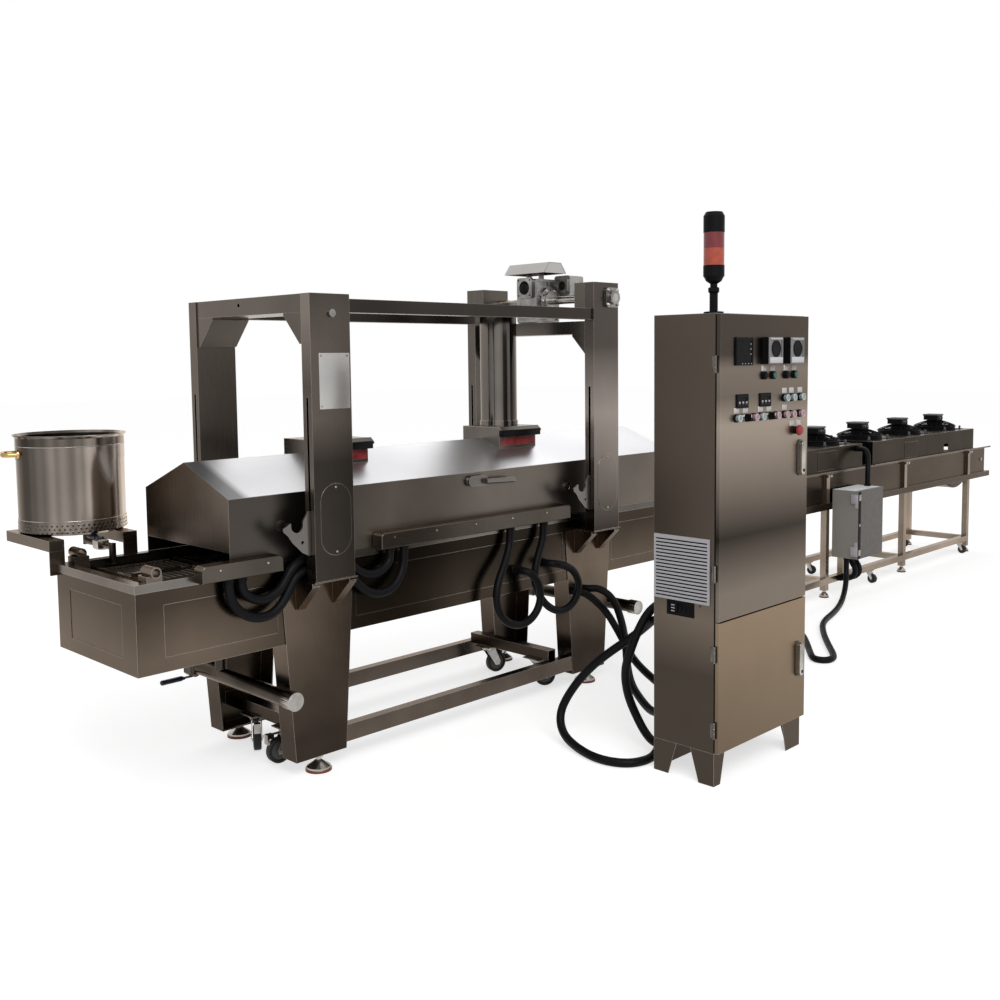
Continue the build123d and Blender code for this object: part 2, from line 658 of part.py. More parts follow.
# Oil tank
def make_oil_tank():
    skin = (TANK_LEFT + RIM_PROUD, TANK_RIGHT - RIM_PROUD)
    lip_low = RIM_TOP - RIM_LIP
    body = block(skin, (-SKIN, SKIN), (TANK_BOTTOM, RIM_TOP))
    body += block((TANK_LEFT, TANK_RIGHT), around(0, TANK_WIDTH), (lip_low, RIM_TOP))
    body -= block((TANK_LEFT + TANK_WALL, TANK_RIGHT - TANK_WALL), (-TANK_INNER, TANK_INNER),
                  (TANK_BOTTOM + TANK_FLOOR, RIM_TOP + 1))
    low, high = TANK_BOTTOM + PANEL_BAND, lip_low - PANEL_BAND
    left, right = COLUMN_MIDDLES
    reach = leg_half(RIM_TOP) + 10
    bays = [(skin[0] + PANEL_CORNER, left - reach), (left + reach, right - reach),
            (right + reach, skin[1] - PANEL_CORNER)]
    for bay in bays:
        for panel in both(block(bay, (-SKIN - 1, -SKIN + PANEL_RECESS), (low, high))):
            body -= panel
    for x in ((skin[0] - 1, skin[0] + PANEL_RECESS), (skin[1] - PANEL_RECESS, skin[1] + 1)):
        body -= block(x, (-SKIN + PANEL_CORNER, SKIN - PANEL_CORNER), (low, high))
    return [body]


# Gantry
def column(left, top):
    """A folded column with the slot that its hook runs in."""
    x = (left, left + COLUMN_WIDTH)
    body = block(x, (FRONT, COLUMN_INNER), (COLUMN_FOOT, top))
    body -= block((x[0] + COLUMN_WALL, x[1] - COLUMN_WALL),
                  (FRONT + COLUMN_WALL, COLUMN_INNER - COLUMN_WALL),
                  (COLUMN_FOOT - 1, top - COLUMN_WALL))
    slot_z = (HOOK_FOOT - 8, HOOK_FOOT + HOOK_HEIGHT + LIFT_TRAVEL + 8)
    body -= block((left - 1, left + COLUMN_WALL + 1), around(HOOK_Y, HOOK_SLOT), slot_z)
    return body


def shaft_hole(y):
    return rod((LIFT_SHAFT_X, y[0], LIFT_SHAFT_Z), (LIFT_SHAFT_X, y[1], LIFT_SHAFT_Z),
               LIFT_SHAFT_RADIUS + 2)


def gusset(x, top):
    """A folded wedge between a column and the end beam on it."""
    wall = COLUMN_WALL
    tip = COLUMN_INNER + GUSSET_REACH
    face = outline((COLUMN_INNER, top), (tip, top), (tip, top - GUSSET_LIP),
                   (COLUMN_INNER + GUSSET_LIP * 2, top - GUSSET_DROP), (COLUMN_INNER, top - GUSSET_DROP))
    inside = outline((COLUMN_INNER + wall, top - wall), (tip - wall * 3, top - wall),
                     (COLUMN_INNER + GUSSET_LIP + wall, top - GUSSET_DROP + wall),
                     (COLUMN_INNER + wall, top - GUSSET_DROP + wall))
    return prism_x(face, x) - prism_x(inside, (x[0] + wall, x[1] - wall))


def make_gantry_frame():
    wall = COLUMN_WALL
    solids = []
    for left, top in zip(COLUMN_LEFTS, (INFEED_COLUMN_TOP, DRIVE_COLUMN_TOP)):
        post = column(left, top)
        if left == DRIVE_COLUMN_LEFT:
            post -= shaft_hole((FRONT - 1, COLUMN_INNER + 1))
        cover = Pos(left + COLUMN_WIDTH / 2 + 6, ACCESS_COVER_LOW + ACCESS_COVER_HEIGHT / 2)
        cover *= SlotOverall(ACCESS_COVER_HEIGHT, ACCESS_COVER_WIDTH, rotation=90)
        solids += both(post, prism_y(cover, (FRONT - SHEET, FRONT)))
    head_y = (COLUMN_INNER, COLUMN_INNER + HEAD_DEPTH)
    head = block((DRIVE_COLUMN_LEFT, GANTRY_LENGTH), head_y, (BEAM_TOP, DRIVE_COLUMN_TOP))
    head -= block((DRIVE_COLUMN_LEFT + wall, GANTRY_LENGTH - wall), (head_y[0] + wall, head_y[1] - wall),
                  (BEAM_TOP + wall, DRIVE_COLUMN_TOP - wall))
    solids += both(head - shaft_hole((head_y[0] - 1, head_y[1] + 1)))
    beam_y = (FRONT + BEAM_SETBACK, FRONT + BEAM_SETBACK + BEAM_DEPTH)
    solids += both(tube_x((COLUMN_WIDTH, DRIVE_COLUMN_LEFT), beam_y, (BEAM_TOP - BEAM_HEIGHT, BEAM_TOP),
                          wall))
    end_x = (END_BEAM_INSET, COLUMN_WIDTH - END_BEAM_INSET)
    end_low = INFEED_COLUMN_TOP - END_BEAM_HEIGHT
    end_beam = tube_y(end_x, (COLUMN_INNER, -COLUMN_INNER), (end_low, INFEED_COLUMN_TOP), wall)
    end_beam -= rod((end_x[0] - 1, 52, end_low + 40), (end_x[0] + wall + 1, 52, end_low + 40), 8)
    drive_x = around(LIFT_SHAFT_X - 15, DRIVE_BEAM_WIDTH)
    drive_low = DRIVE_BEAM_TOP - DRIVE_BEAM_HEIGHT
    solids += [end_beam, tube_y(drive_x, (COLUMN_INNER, -COLUMN_INNER), (drive_low, DRIVE_BEAM_TOP), wall)]
    solids += both(gusset(end_x, end_low), gusset(drive_x, drive_low))
    return solids


# Hood lift

def hook(left):
    """A lift hook: its throat takes a lifting rod, and its carriage runs inside the column."""
    low, high = HOOK_FOOT, HOOK_FOOT + HOOK_HEIGHT
    throat = left - HOOK_REACH
    radius = HOOK_THROAT_RADIUS
    seat = ROD_HEIGHT - ROD_RADIUS - 5 + radius
    face = outline((left + 20, low), (left + 20, high), (left - 9, high), (throat + radius, seat + 12),
                   (throat - radius, seat + 12), (throat - radius - 12, seat + 4),
                   (throat - radius - 33, seat - 5), (throat - radius - 31, seat - 17),
                   (throat - radius - 14, seat - 31), (throat - radius + 4, seat - 58),
                   (left - 40, low + 14),
                   (left - 12, low))
    face -= Pos(throat, seat) * Circle(radius)
    face -= Pos(throat, seat + 10) * Rectangle(2 * radius, 20)
    face -= Pos(left - 38, low + 50) * Circle(7)
    inner = COLUMN_DEPTH / 2 - COLUMN_WALL - SEAT_GAP
    carriage_x = (left + COLUMN_WALL + 3, left + COLUMN_WALL + 3 + CARRIAGE_WIDTH)
    carriage = block(carriage_x, (HOOK_Y - inner, HOOK_Y + inner), (low, high))
    return prism_y(face, around(HOOK_Y, HOOK_THICKNESS)) + carriage


def make_lift_hooks():
    return [copy for left in COLUMN_LEFTS for copy in both(hook(left))]


def make_lift_shaft():
    end = -FRONT + BEARING_FLANGE + BEARING_BOSS
    shaft = rod((LIFT_SHAFT_X, -end, LIFT_SHAFT_Z), (LIFT_SHAFT_X, end, LIFT_SHAFT_Z), LIFT_SHAFT_RADIUS)
    for y in (HOOK_Y, -HOOK_Y):
        y0, y1 = around(y, SPROCKET_WIDTH)
        shaft += rod((LIFT_SHAFT_X, y0, LIFT_SHAFT_Z), (LIFT_SHAFT_X, y1, LIFT_SHAFT_Z), SPROCKET_RADIUS)
    return [shaft]


def shaft_bore(y):
    radius = LIFT_SHAFT_RADIUS + RUNNING_GAP
    return rod((LIFT_SHAFT_X, y[0] - 1, LIFT_SHAFT_Z), (LIFT_SHAFT_X, y[1] + 1, LIFT_SHAFT_Z), radius)


def flange_bearing():
    """A square flange bearing on the outer face of a drive column."""
    back, front = FRONT, FRONT - BEARING_FLANGE
    body = block(around(LIFT_SHAFT_X, BEARING_SIZE), (front, back), around(LIFT_SHAFT_Z, BEARING_SIZE))
    body = fillet(body.edges().filter_by(Axis.Y), 16)
    body += rod((LIFT_SHAFT_X, front - BEARING_BOSS, LIFT_SHAFT_Z), (LIFT_SHAFT_X, front, LIFT_SHAFT_Z),
                BEARING_BOSS_RADIUS)
    return body - shaft_bore((front - BEARING_BOSS, back))


def worm_gearbox():
    """The main gearbox: recessed ribbed sides, a bolted output flange on each and a square input flange."""
    y = (GEARBOX_FRONT, GEARBOX_FRONT + GEARBOX_DEPTH)
    x = around(LIFT_SHAFT_X - 15, GEARBOX_LENGTH)
    z = (DRIVE_BEAM_TOP, DRIVE_BEAM_TOP + GEARBOX_HEIGHT)
    inner_x, inner_z = (x[0] + GEARBOX_RIM, x[1] - GEARBOX_RIM), (z[0] + GEARBOX_RIM, z[1] - GEARBOX_RIM)
    body = block(x, y, z)
    body = fillet(body.edges().filter_by(Axis.Y), 14)
    flange = OUTPUT_FLANGE_RADIUS
    for face, out in ((y[0], -1), (y[1], 1)):
        floor = face - out * GEARBOX_RECESS
        body -= block(inner_x, sorted((face + out, floor)), inner_z)
        rib_y = sorted((face - out * 3, floor))
        body += block(around(LIFT_SHAFT_X, 8), rib_y, (LIFT_SHAFT_Z, inner_z[1]))
        body += block((inner_x[0], LIFT_SHAFT_X), rib_y, around(LIFT_SHAFT_Z + 30, 8))
        body += block(inner_x, rib_y, around(inner_z[1] - 26, 8))
        body += rod((LIFT_SHAFT_X, floor, LIFT_SHAFT_Z), (LIFT_SHAFT_X, face + out * 6, LIFT_SHAFT_Z),
                    flange)
        body += rod((LIFT_SHAFT_X, face, LIFT_SHAFT_Z), (LIFT_SHAFT_X, face + out * 16, LIFT_SHAFT_Z),
                    flange * 0.68)
        for turn in range(6):
            angle = radians(60 * turn + 30)
            at = (LIFT_SHAFT_X + flange * 0.84 * cos(angle), LIFT_SHAFT_Z + flange * 0.84 * sin(angle))
            body -= rod((at[0], face + out * 7, at[1]), (at[0], face - out * 4, at[1]), 5)
    body -= shaft_bore((y[0] - 16, y[1] + 16))
    middle, axis_z = sum(y) / 2, z[1] - 42
    plate = block((x[0] - 14, x[0]), around(middle, INPUT_FLANGE), around(axis_z, INPUT_FLANGE))
    body += fillet(plate.edges().filter_by(Axis.X), 12)
    body -= rod((x[0] - 15, middle, axis_z), (x[0] + 60, middle, axis_z), INPUT_BORE)
    for side in (-1, 1):
        for rise in (-1, 1):
            hole = (middle + side * INPUT_FLANGE * 0.38, axis_z + rise * INPUT_FLANGE * 0.38)
            body -= rod((x[0] - 15, *hole), (x[0] - 2, *hole), 5)
    return body


def input_gearbox():
    """The small first stage beside the main gearbox, with its own hollow input."""
    left = LIFT_SHAFT_X - 15 + GEARBOX_LENGTH / 2
    y = (GEARBOX_FRONT - INPUT_BOX * 0.7, GEARBOX_FRONT + INPUT_BOX * 0.3)
    z = around(DRIVE_BEAM_TOP + GEARBOX_HEIGHT - 30, INPUT_BOX)
    body = block((left, left + INPUT_BOX), y, z)
    body = fillet(body.edges().filter_by(Axis.X), 14)
    middle = (sum(y) / 2 - 8, sum(z) / 2)
    boss = block((left - 10, left), around(middle[0], 68), around(middle[1], 68))
    body += fillet(boss.edges().filter_by(Axis.X), 10)
    for side in (-1, 1):
        for rise in (-1, 1):
            hole = (middle[0] + side * 26, middle[1] + rise * 26)
            body -= rod((left - 11, *hole), (left - 2, *hole), 3.5)
    return body - rod((left - 11, *middle), (left + 50, *middle), 22)


def drive_cover():
    """A bent sheet over the gearbox, on two straps."""
    x = around(LIFT_SHAFT_X - 35, DRIVE_COVER_WIDTH)
    y = around(sum((GEARBOX_FRONT, GEARBOX_FRONT + GEARBOX_DEPTH)) / 2, DRIVE_COVER_LENGTH)
    low = DRIVE_BEAM_TOP + GEARBOX_HEIGHT + 25
    slope = (DRIVE_COVER_WIDTH - DRIVE_COVER_FLAT) / 2
    rise = DRIVE_COVER_HEIGHT
    face = outline((x[0], low), (x[0] + slope, low + rise), (x[1] - slope, low + rise), (x[1], low),
                   (x[1] - SHEET * 1.3, low), (x[1] - slope - SHEET * 0.5, low + rise - SHEET),
                   (x[0] + slope + SHEET * 0.5, low + rise - SHEET), (x[0] + SHEET * 1.3, low))
    strap_x = around(sum(x) / 2, 30)
    posts = [block(strap_x, around(sum(y) / 2 + side, 8), (low - 25, low + rise - SHEET))
             for side in (-40, 40)]
    return [prism_y(face, y)] + posts


def make_lift_drive():
    axle_z = INFEED_COLUMN_TOP - 70
    idler = rod((COLUMN_WIDTH / 2 + 5, FRONT - 10, axle_z), (COLUMN_WIDTH / 2 + 5, FRONT, axle_z), 14)
    return both(flange_bearing(), idler) + [worm_gearbox(), input_gearbox()] + drive_cover()


# Hood
def gable(half, foot, drop):
    """The hood's section, drawn in by a sheet's thickness for the inside."""
    return outline((-half, foot), (half, foot), (half, HOOD_EAVE - drop), (0, HOOD_RIDGE - drop),
                   (-half, HOOD_EAVE - drop))


def make_hood_shell():
    """Side sheets, roof slopes and end sheets that meet at the folds, with bushes for the lifting rods."""
    half, x = HOOD_HALF, (HOOD_LEFT, HOOD_RIGHT)
    fold = (-half + SHEET, HOOD_EAVE - SHEET)
    side = prism_x(outline((-half, HOOD_FOOT), (-half + SHEET, HOOD_FOOT), fold, (-half, HOOD_EAVE)), x)
    slope = prism_x(outline((-half, HOOD_EAVE), fold, (0, HOOD_RIDGE - SHEET), (0, HOOD_RIDGE)), x)
    for vent_x in EXHAUST_X:
        slope -= rod((vent_x, 0, HOOD_EAVE), (vent_x, 0, HOOD_RIDGE + 1), STACK_RADIUS)
    end = outline((-half + SHEET, HOOD_MOUTH), (half - SHEET, HOOD_MOUTH),
                  (half - SHEET, HOOD_EAVE - SHEET),
                  (0, HOOD_RIDGE - SHEET), fold)
    ends = [prism_x(end, (HOOD_LEFT, HOOD_LEFT + SHEET)), prism_x(end, (HOOD_RIGHT - SHEET, HOOD_RIGHT))]
    bore = ROD_RADIUS + RUNNING_GAP
    bushes = []
    for rod_x in ROD_X:
        y0, y1 = -half - BUSH_PROUD, -half - BUSH_PROUD + BUSH_LENGTH
        bushes.append(pipe((rod_x, y0, ROD_HEIGHT), (rod_x, y1, ROD_HEIGHT), BUSH_RADIUS, bore))
        side -= rod((rod_x, -half - 1, ROD_HEIGHT), (rod_x, -half + SHEET + 1, ROD_HEIGHT), BUSH_RADIUS)
    front, back = both(side)
    for lead_x in HEATER_X:
        notch_x = around(lead_x, HEATER_LEGS + 22)
        if notch_x[1] > HOOD_LEFT:
            front -= block(notch_x, (-half - 1, -half + SHEET + 1), (HOOD_FOOT - 1, HEATER_LEAD_Z + 12))
    x, z = LEVER_PIVOT
    pivot = LEVER_PIN_RADIUS + RUNNING_GAP
    boss = pipe((x, -half - 10, z), (x, -half, z), 18, pivot)
    front -= rod((x, -half - 1, z), (x, -half + SHEET + 1, z), pivot)
    return [front, back, boss] + ends + both(slope, *bushes)


def exhaust_box(x):
    """A box of sheets astride the ridge with a red front panel under a visor."""
    half, top = EXHAUST_SIZE / 2, EXHAUST_TOP - SHEET
    roof = prism_x(gable(HOOD_HALF, HOOD_FOOT, 0), (HOOD_LEFT, HOOD_RIGHT))
    wall = block((x - half, x + half), (-half, -half + SHEET), (HOOD_EAVE, top)) - roof
    cheek = block((x - half, x - half + SHEET), (-half + SHEET, half - SHEET), (HOOD_EAVE, top)) - roof
    slope = (HOOD_RIDGE - HOOD_EAVE) / HOOD_HALF
    eave = HOOD_RIDGE - slope * (half + 8)
    panel = block((x - half + 8, x + half - 8), (-half - SHEET, -half),
                  (eave + 16, EXHAUST_TOP - VISOR_HEIGHT))
    low, reach = EXHAUST_TOP - VISOR_HEIGHT, -half - VISOR_DEPTH
    visor = outline((-half - SHEET, low), (reach, low), (reach, low + 8), (-half, EXHAUST_TOP),
                    (-half, low))
    walls = both(wall) + [cheek, Pos(EXHAUST_SIZE - SHEET, 0, 0) * cheek]
    return walls + [panel, prism_x(visor, (x - half, x + half + VISOR_REACH))]


def make_exhaust_boxes():
    half, lid_z = EXHAUST_SIZE / 2, (EXHAUST_TOP - SHEET, EXHAUST_TOP)
    plain, x = EXHAUST_X
    solids = exhaust_box(plain) + exhaust_box(x)
    solids.append(block(around(plain, EXHAUST_SIZE), (-half, half), lid_z))
    bore = rod((x, 0, lid_z[0] - 1), (x, 0, STACK_TOP + 1), STACK_RADIUS - SHEET)
    reach = (STACK_RADIUS - SHEET) / 2 ** 0.5
    lid = [block((x - half, x - reach), (-half, half), lid_z),
           block((x + reach, x + half), (-half, half), lid_z)]
    lid += both(block((x - reach, x + reach), (-half, -reach), lid_z))
    stack = rod((x, 0, EXHAUST_TOP), (x, 0, STACK_TOP), STACK_RADIUS)
    stack += rod((x, 0, EXHAUST_TOP), (x, 0, EXHAUST_TOP + STACK_COLLAR), STACK_RADIUS + 4)
    return solids + [piece - bore for piece in lid + [stack]]


def make_hood_lever():
    x, z = LEVER_PIVOT
    front = -HOOD_HALF - 10 - SEAT_GAP
    half = LEVER_WIDTH / 2
    plate = Pos(x + LEVER_PLATE / 2 - half, z) * SlotOverall(LEVER_PLATE, LEVER_WIDTH)
    body = prism_y(plate, (front - 8, front))
    body += rod((x, front, z), (x, -HOOD_HALF + SHEET + 8, z), LEVER_PIN_RADIUS)
    start = (x + LEVER_PLATE - LEVER_WIDTH, front - 8 - GRIP_RADIUS + 2, z - 4)
    end = (x + LEVER_LENGTH, front - 8 - GRIP_RADIUS + 2, z - 11)
    return [body + rod(start, end, GRIP_RADIUS)]


def make_lift_rods(side):
    """Two lifting rods of one side, drawn in flush with their bushes."""
    tip = HOOD_HALF + BUSH_PROUD - 2
    return [rod((x, side * tip, ROD_HEIGHT), (x, side * (tip - ROD_LENGTH), ROD_HEIGHT), ROD_RADIUS)
            for x in ROD_X]


# Heaters
def terminal_cover(x, low, height):
    """A sheet cover over the heater terminals, with rounded upper corners."""
    y = (-TANK_WIDTH / 2 - COVER_DEPTH, -TANK_WIDTH / 2)
    body = block(x, y, (low, low + height))
    body = fillet(body.edges().filter_by(Axis.Y).group_by(Axis.Z)[-1], 18)
    return fillet(body.edges().group_by(Axis.Y)[0].filter_by(Axis.X), 5)


def heater_element(x):
    """A hairpin element in its straight lengths: over the rim, down the wall and across the floor."""
    wall = -TANK_INNER + 12
    far = CONVEYOR_HALF - 15
    left, right = around(x, HEATER_LEGS)
    side = [(-TANK_WIDTH / 2, HEATER_LEAD_Z), (wall, HEATER_LEAD_Z), (wall, HEATER_DEPTH),
            (far, HEATER_DEPTH)]
    path = [(left, y, z) for y, z in side] + [(right, y, z) for y, z in reversed(side)]
    section = Plane(origin=path[0], z_dir=(0, 1, 0)) * RegularPolygon(HEATER_ROD_RADIUS, 8)
    whole = sweep(section, path=Polyline(*path), transition=Transition.RIGHT)
    reach = HEATER_ROD_RADIUS
    steps = [-TANK_WIDTH / 2, wall - reach, wall + reach, far - reach, far + reach]
    lengths = []
    for y in zip(steps, steps[1:]):
        cell = block((left - HEATER_LEGS, right + HEATER_LEGS), y,
                     (HEATER_DEPTH - reach, HEATER_LEAD_Z + reach))
        lengths += (whole & cell).solids()
    return lengths


def make_heater_banks():
    solids = [terminal_cover(SMALL_COVER, SMALL_COVER_LOW, SMALL_COVER_HEIGHT),
              terminal_cover(LONG_COVER, LONG_COVER_LOW, LONG_COVER_HEIGHT)]
    for name in ("jumper_upper", "jumper_lower", "loop_left", "loop_right"):
        solids.append(gland(ROUTES[name][0], (0, 0, 1)))
    for name in ("jumper_upper", "jumper_lower"):
        solids.append(gland(ROUTES[name][-1], (0, 0, 1)))
    for name in ("loop_left", "loop_right"):
        x, y, z = ROUTES[name][-1]
        solids.append(rod((x, y, z), (x, -SKIN + PANEL_RECESS, z), GLAND_RADIUS))
    return solids + [length for x in HEATER_X for length in heater_element(x)]


# Fryer conveyor
def belt_loop(x, z, radius, thickness, half):
    """A belt round two ends, as one closed band."""
    length = x[1] - x[0]
    middle = Pos(sum(x) / 2, z)
    band = SlotCenterToCenter(length, 2 * radius) - SlotCenterToCenter(length, 2 * (radius - thickness))
    return prism_y(middle * band, (-half, half))


def make_fryer_belt():
    return [belt_loop((TAIL_X, DRIVE_X), BELT_Z, BELT_RADIUS, BELT_THICKNESS, BELT_HALF)]


def make_fryer_drive_shaft():
    end = CONVEYOR_HALF + 10
    shaft = rod((DRIVE_X, -end, BELT_Z), (DRIVE_X, end, BELT_Z), DRIVE_SHAFT_RADIUS)
    for step in range(-2, 3):
        y0, y1 = around(step * BELT_HALF * 0.45, 24)
        shaft += rod((DRIVE_X, y0, BELT_Z), (DRIVE_X, y1, BELT_Z), BELT_RADIUS - BELT_THICKNESS - SEAT_GAP)
    return [shaft]


def saddle(x):
    """A hanger from the tank's rim to the conveyor's side plate, with its tube stub."""
    rim, wall = -TANK_WIDTH / 2 + 2, -TANK_INNER
    face = outline((rim, RIM_TOP), (wall, RIM_TOP), (wall, CONVEYOR_TOP - 30),
                   (-CONVEYOR_HALF, CONVEYOR_TOP - 30),
                   (-CONVEYOR_HALF, RIM_TOP + 22), (rim, RIM_TOP + 22))
    hanger = prism_x(face, around(x, SADDLE_WIDTH))
    axis_z = RIM_TOP + 22 + SADDLE_TUBE_RADIUS * 0.6
    tube = (x, rim - 14, axis_z), (x, -CONVEYOR_HALF, axis_z)
    return hanger - rod(*tube, SADDLE_TUBE_RADIUS), pipe(*tube, SADDLE_TUBE_RADIUS, SADDLE_TUBE_RADIUS - 4)


def make_conveyor_frame():
    outfeed = TANK_LEFT + TANK_RIGHT - SADDLE_X
    plate_x = (SADDLE_X - SADDLE_WIDTH / 2, outfeed + SADDLE_WIDTH / 2)
    side = block(plate_x, (-CONVEYOR_HALF, -CONVEYOR_HALF + PLATE), (CONVEYOR_LOW, CONVEYOR_TOP))
    side -= rod((DRIVE_X, -CONVEYOR_HALF - 1, BELT_Z), (DRIVE_X, -CONVEYOR_HALF + PLATE + 1, BELT_Z),
                DRIVE_SHAFT_RADIUS + RUNNING_GAP)
    solids = both(side, *saddle(SADDLE_X), *saddle(outfeed))
    strips = [SADDLE_X + 53, HOOD_LEFT + 77, HOOD_RIGHT - 77, outfeed - 53]
    for x in strips:
        solids.append(block(around(x, STRIP_WIDTH), (-CONVEYOR_HALF, CONVEYOR_HALF),
                            (CONVEYOR_TOP, CONVEYOR_TOP + STRIP_HEIGHT)))
    nose = BELT_RADIUS - BELT_THICKNESS - SEAT_GAP
    inner = CONVEYOR_HALF - PLATE
    solids.append(rod((TAIL_X, -inner, BELT_Z), (TAIL_X, inner, BELT_Z), nose))
    slide_z = CONVEYOR_TOP + STRIP_HEIGHT
    infeed_x = (TANK_LEFT + TANK_WALL, strips[0] - STRIP_WIDTH / 2)
    solids.append(block(infeed_x, (-CONVEYOR_HALF, CONVEYOR_HALF), (CONVEYOR_TOP, CONVEYOR_TOP + 3)))
    probe_y = -58
    tip_x = HOOD_LEFT - 60
    solids.append(block((strips[0] - 10, tip_x), around(probe_y, 16), (slide_z, slide_z + 16)))
    solids.append(rod((tip_x, probe_y, slide_z + 8), (tip_x + 45, probe_y, slide_z + 8), 7))
    return solids


# Stock pot and pipes
def pot_handle():
    """A bent handle between two round flanges on the pot's side, standing out along +X."""
    edge = POT_RADIUS
    reach = edge + POT_HANDLE_REACH
    half, radius = POT_HANDLE_HALF, POT_HANDLE_RADIUS
    path = FilletPolyline((edge - 30, -half, 0), (reach, -half, 0), (reach, half, 0), (edge - 30, half, 0),
                          radius=20)
    bar = sweep(Plane(origin=(edge - 30, -half, 0), z_dir=(1, 0, 0)) * Circle(radius), path=path)
    for y in (-half, half):
        bar += rod((edge - 30, y, 0), (edge - 2, y, 0), radius * 2.2)
    return bar - rod((0, 0, -60), (0, 0, 60), edge)


def make_oil_pot():
    top = POT_BASE + POT_HEIGHT
    rim, band, inner = POT_RADIUS + POT_RIM, POT_RADIUS + POT_STEP, POT_RADIUS - POT_WALL
    profile = [(0, POT_BASE), (POT_RADIUS - 8, POT_BASE), (band, POT_BASE + 8),
               (band, POT_BASE + POT_SKIRT),
               (POT_RADIUS, POT_BASE + POT_SKIRT), (POT_RADIUS, top - POT_BAND), (band, top - POT_BAND),
               (band, top - 12), (rim, top - 3), (rim, top), (rim - 4, top), (inner, top - 10),
               (inner, POT_BASE + 8), (POT_RADIUS - 10, POT_BASE + POT_WALL), (0, POT_BASE + POT_WALL)]
    body = turned(profile, (POT_X, POT_Y, 0))
    outlet = POT_Y - POT_OUTLET
    body -= rod((POT_PIPE_X, outlet, POT_BASE - 1), (POT_PIPE_X, outlet, POT_BASE + POT_WALL + 1),
                PIPE_RADIUS - 3)
    handle = place(pot_handle(), (POT_X, POT_Y, top - POT_HANDLE_DROP), POT_HANDLE_TURN)
    return [body, handle - body]


def make_pot_bracket():
    solids = []
    back = TANK_WIDTH / 2
    for x in BRACKET_X:
        arm_z = (POT_BASE - BRACKET_HEIGHT, POT_BASE)
        arm = block(around(x, BRACKET_BAR), (back, back + BRACKET_LENGTH), arm_z)
        arm -= block(around(x, BRACKET_BAR - 2 * PLATE), (back + PLATE, back + BRACKET_LENGTH - PLATE),
                     (arm_z[0] - 1, arm_z[1] - PLATE))
        solids.append(arm)
        solids.append(block(around(x, BRACKET_BAR), (back, back + PLATE),
                            (RIM_TOP - RIM_LIP - 14, arm_z[0])))
    return solids


def make_oil_pipework():
    z = POT_BASE - 38
    start, end = POT_Y - POT_OUTLET, TANK_INNER - 30
    drop = rod((POT_PIPE_X, start, z - PIPE_RADIUS), (POT_PIPE_X, start, POT_BASE), PIPE_RADIUS)
    spout = rod((POT_PIPE_X, end, z + PIPE_RADIUS), (POT_PIPE_X, end, CONVEYOR_TOP + 15), PIPE_RADIUS)
    valve_y = around(VALVE_Y, 56)
    inlet = rod((POT_PIPE_X, start, z), (POT_PIPE_X, valve_y[1], z), PIPE_RADIUS) - drop
    outlet = rod((POT_PIPE_X, valve_y[0], z), (POT_PIPE_X, end, z), PIPE_RADIUS) - spout
    valve = block(around(POT_PIPE_X, 44), valve_y, around(z, 40))
    valve = chamfer(valve.edges(), 6)
    stem = rod((POT_PIPE_X, VALVE_Y, z + 20), (POT_PIPE_X, VALVE_Y, z + 27), VALVE_STEM_RADIUS)
    solids = [drop, inlet, valve + stem, outlet, spout]
    for x in DRAIN_X:
        line = rod((x, DRAIN_FRONT, DRAIN_HEIGHT), (x, DRAIN_BACK, DRAIN_HEIGHT), DRAIN_RADIUS)
        cap = rod((x, DRAIN_FRONT - 16, DRAIN_HEIGHT), (x, DRAIN_FRONT + 34, DRAIN_HEIGHT),
                  DRAIN_RADIUS + 5)
        riser = rod((x, 100, DRAIN_HEIGHT), (x, 100, TANK_BOTTOM), DRAIN_RADIUS - 5)
        body = block(around(x, 76), (DRAIN_BACK, DRAIN_BACK + 70), around(DRAIN_HEIGHT, 70))
        body = chamfer(body.edges(), 10)
        if x == DRAIN_X[0]:
            body += rod((x, DRAIN_BACK + 35, DRAIN_HEIGHT - 46), (x, DRAIN_BACK + 35, DRAIN_HEIGHT - 30),
                        VALVE_STEM_RADIUS)
        solids += [line, cap - line, riser - line, body]
    return solids


def valve_lever(length):
    """A flat lever with a sleeve, lying along +X from its stem."""
    hub = rod((0, 0, 0), (0, 0, 6), 13)
    bar = block((0, length), (-8, 8), (0, 4))
    sleeve = block((length * 0.35, length), (-11, 11), (-3, 7))
    return hub + bar + fillet(sleeve.edges().filter_by(Axis.X), 3)


def make_pot_valve_lever():
    bore = rod((0, 0, -5), (0, 0, 12), VALVE_STEM_RADIUS + RUNNING_GAP)
    seat = POT_BASE - 38 + 20 + SEAT_GAP
    return [place(valve_lever(POT_VALVE_LEVER) - bore, (POT_PIPE_X, VALVE_Y, seat), 90)]


def make_drain_valve_lever():
    bore = rod((0, 0, -5), (0, 0, 12), VALVE_STEM_RADIUS + RUNNING_GAP)
    seat = DRAIN_HEIGHT - 35 - 7 - SEAT_GAP
    return [place(valve_lever(VALVE_LEVER) - bore, (DRAIN_X[0], DRAIN_BACK + 35, seat), 180)]


# Control cabinet
def cut_feet(x, middle, cut):
    """The two feet left of a plinth sheet by its cut-out, drawn upright from the floor."""
    low, high = cut[0] / 2, cut[1] / 2
    return [outline((x[0], 0), (middle - low, 0), (middle - high, PLINTH), (x[0], PLINTH)),
            outline((middle + low, 0), (x[1], 0), (x[1], PLINTH), (middle + high, PLINTH))]


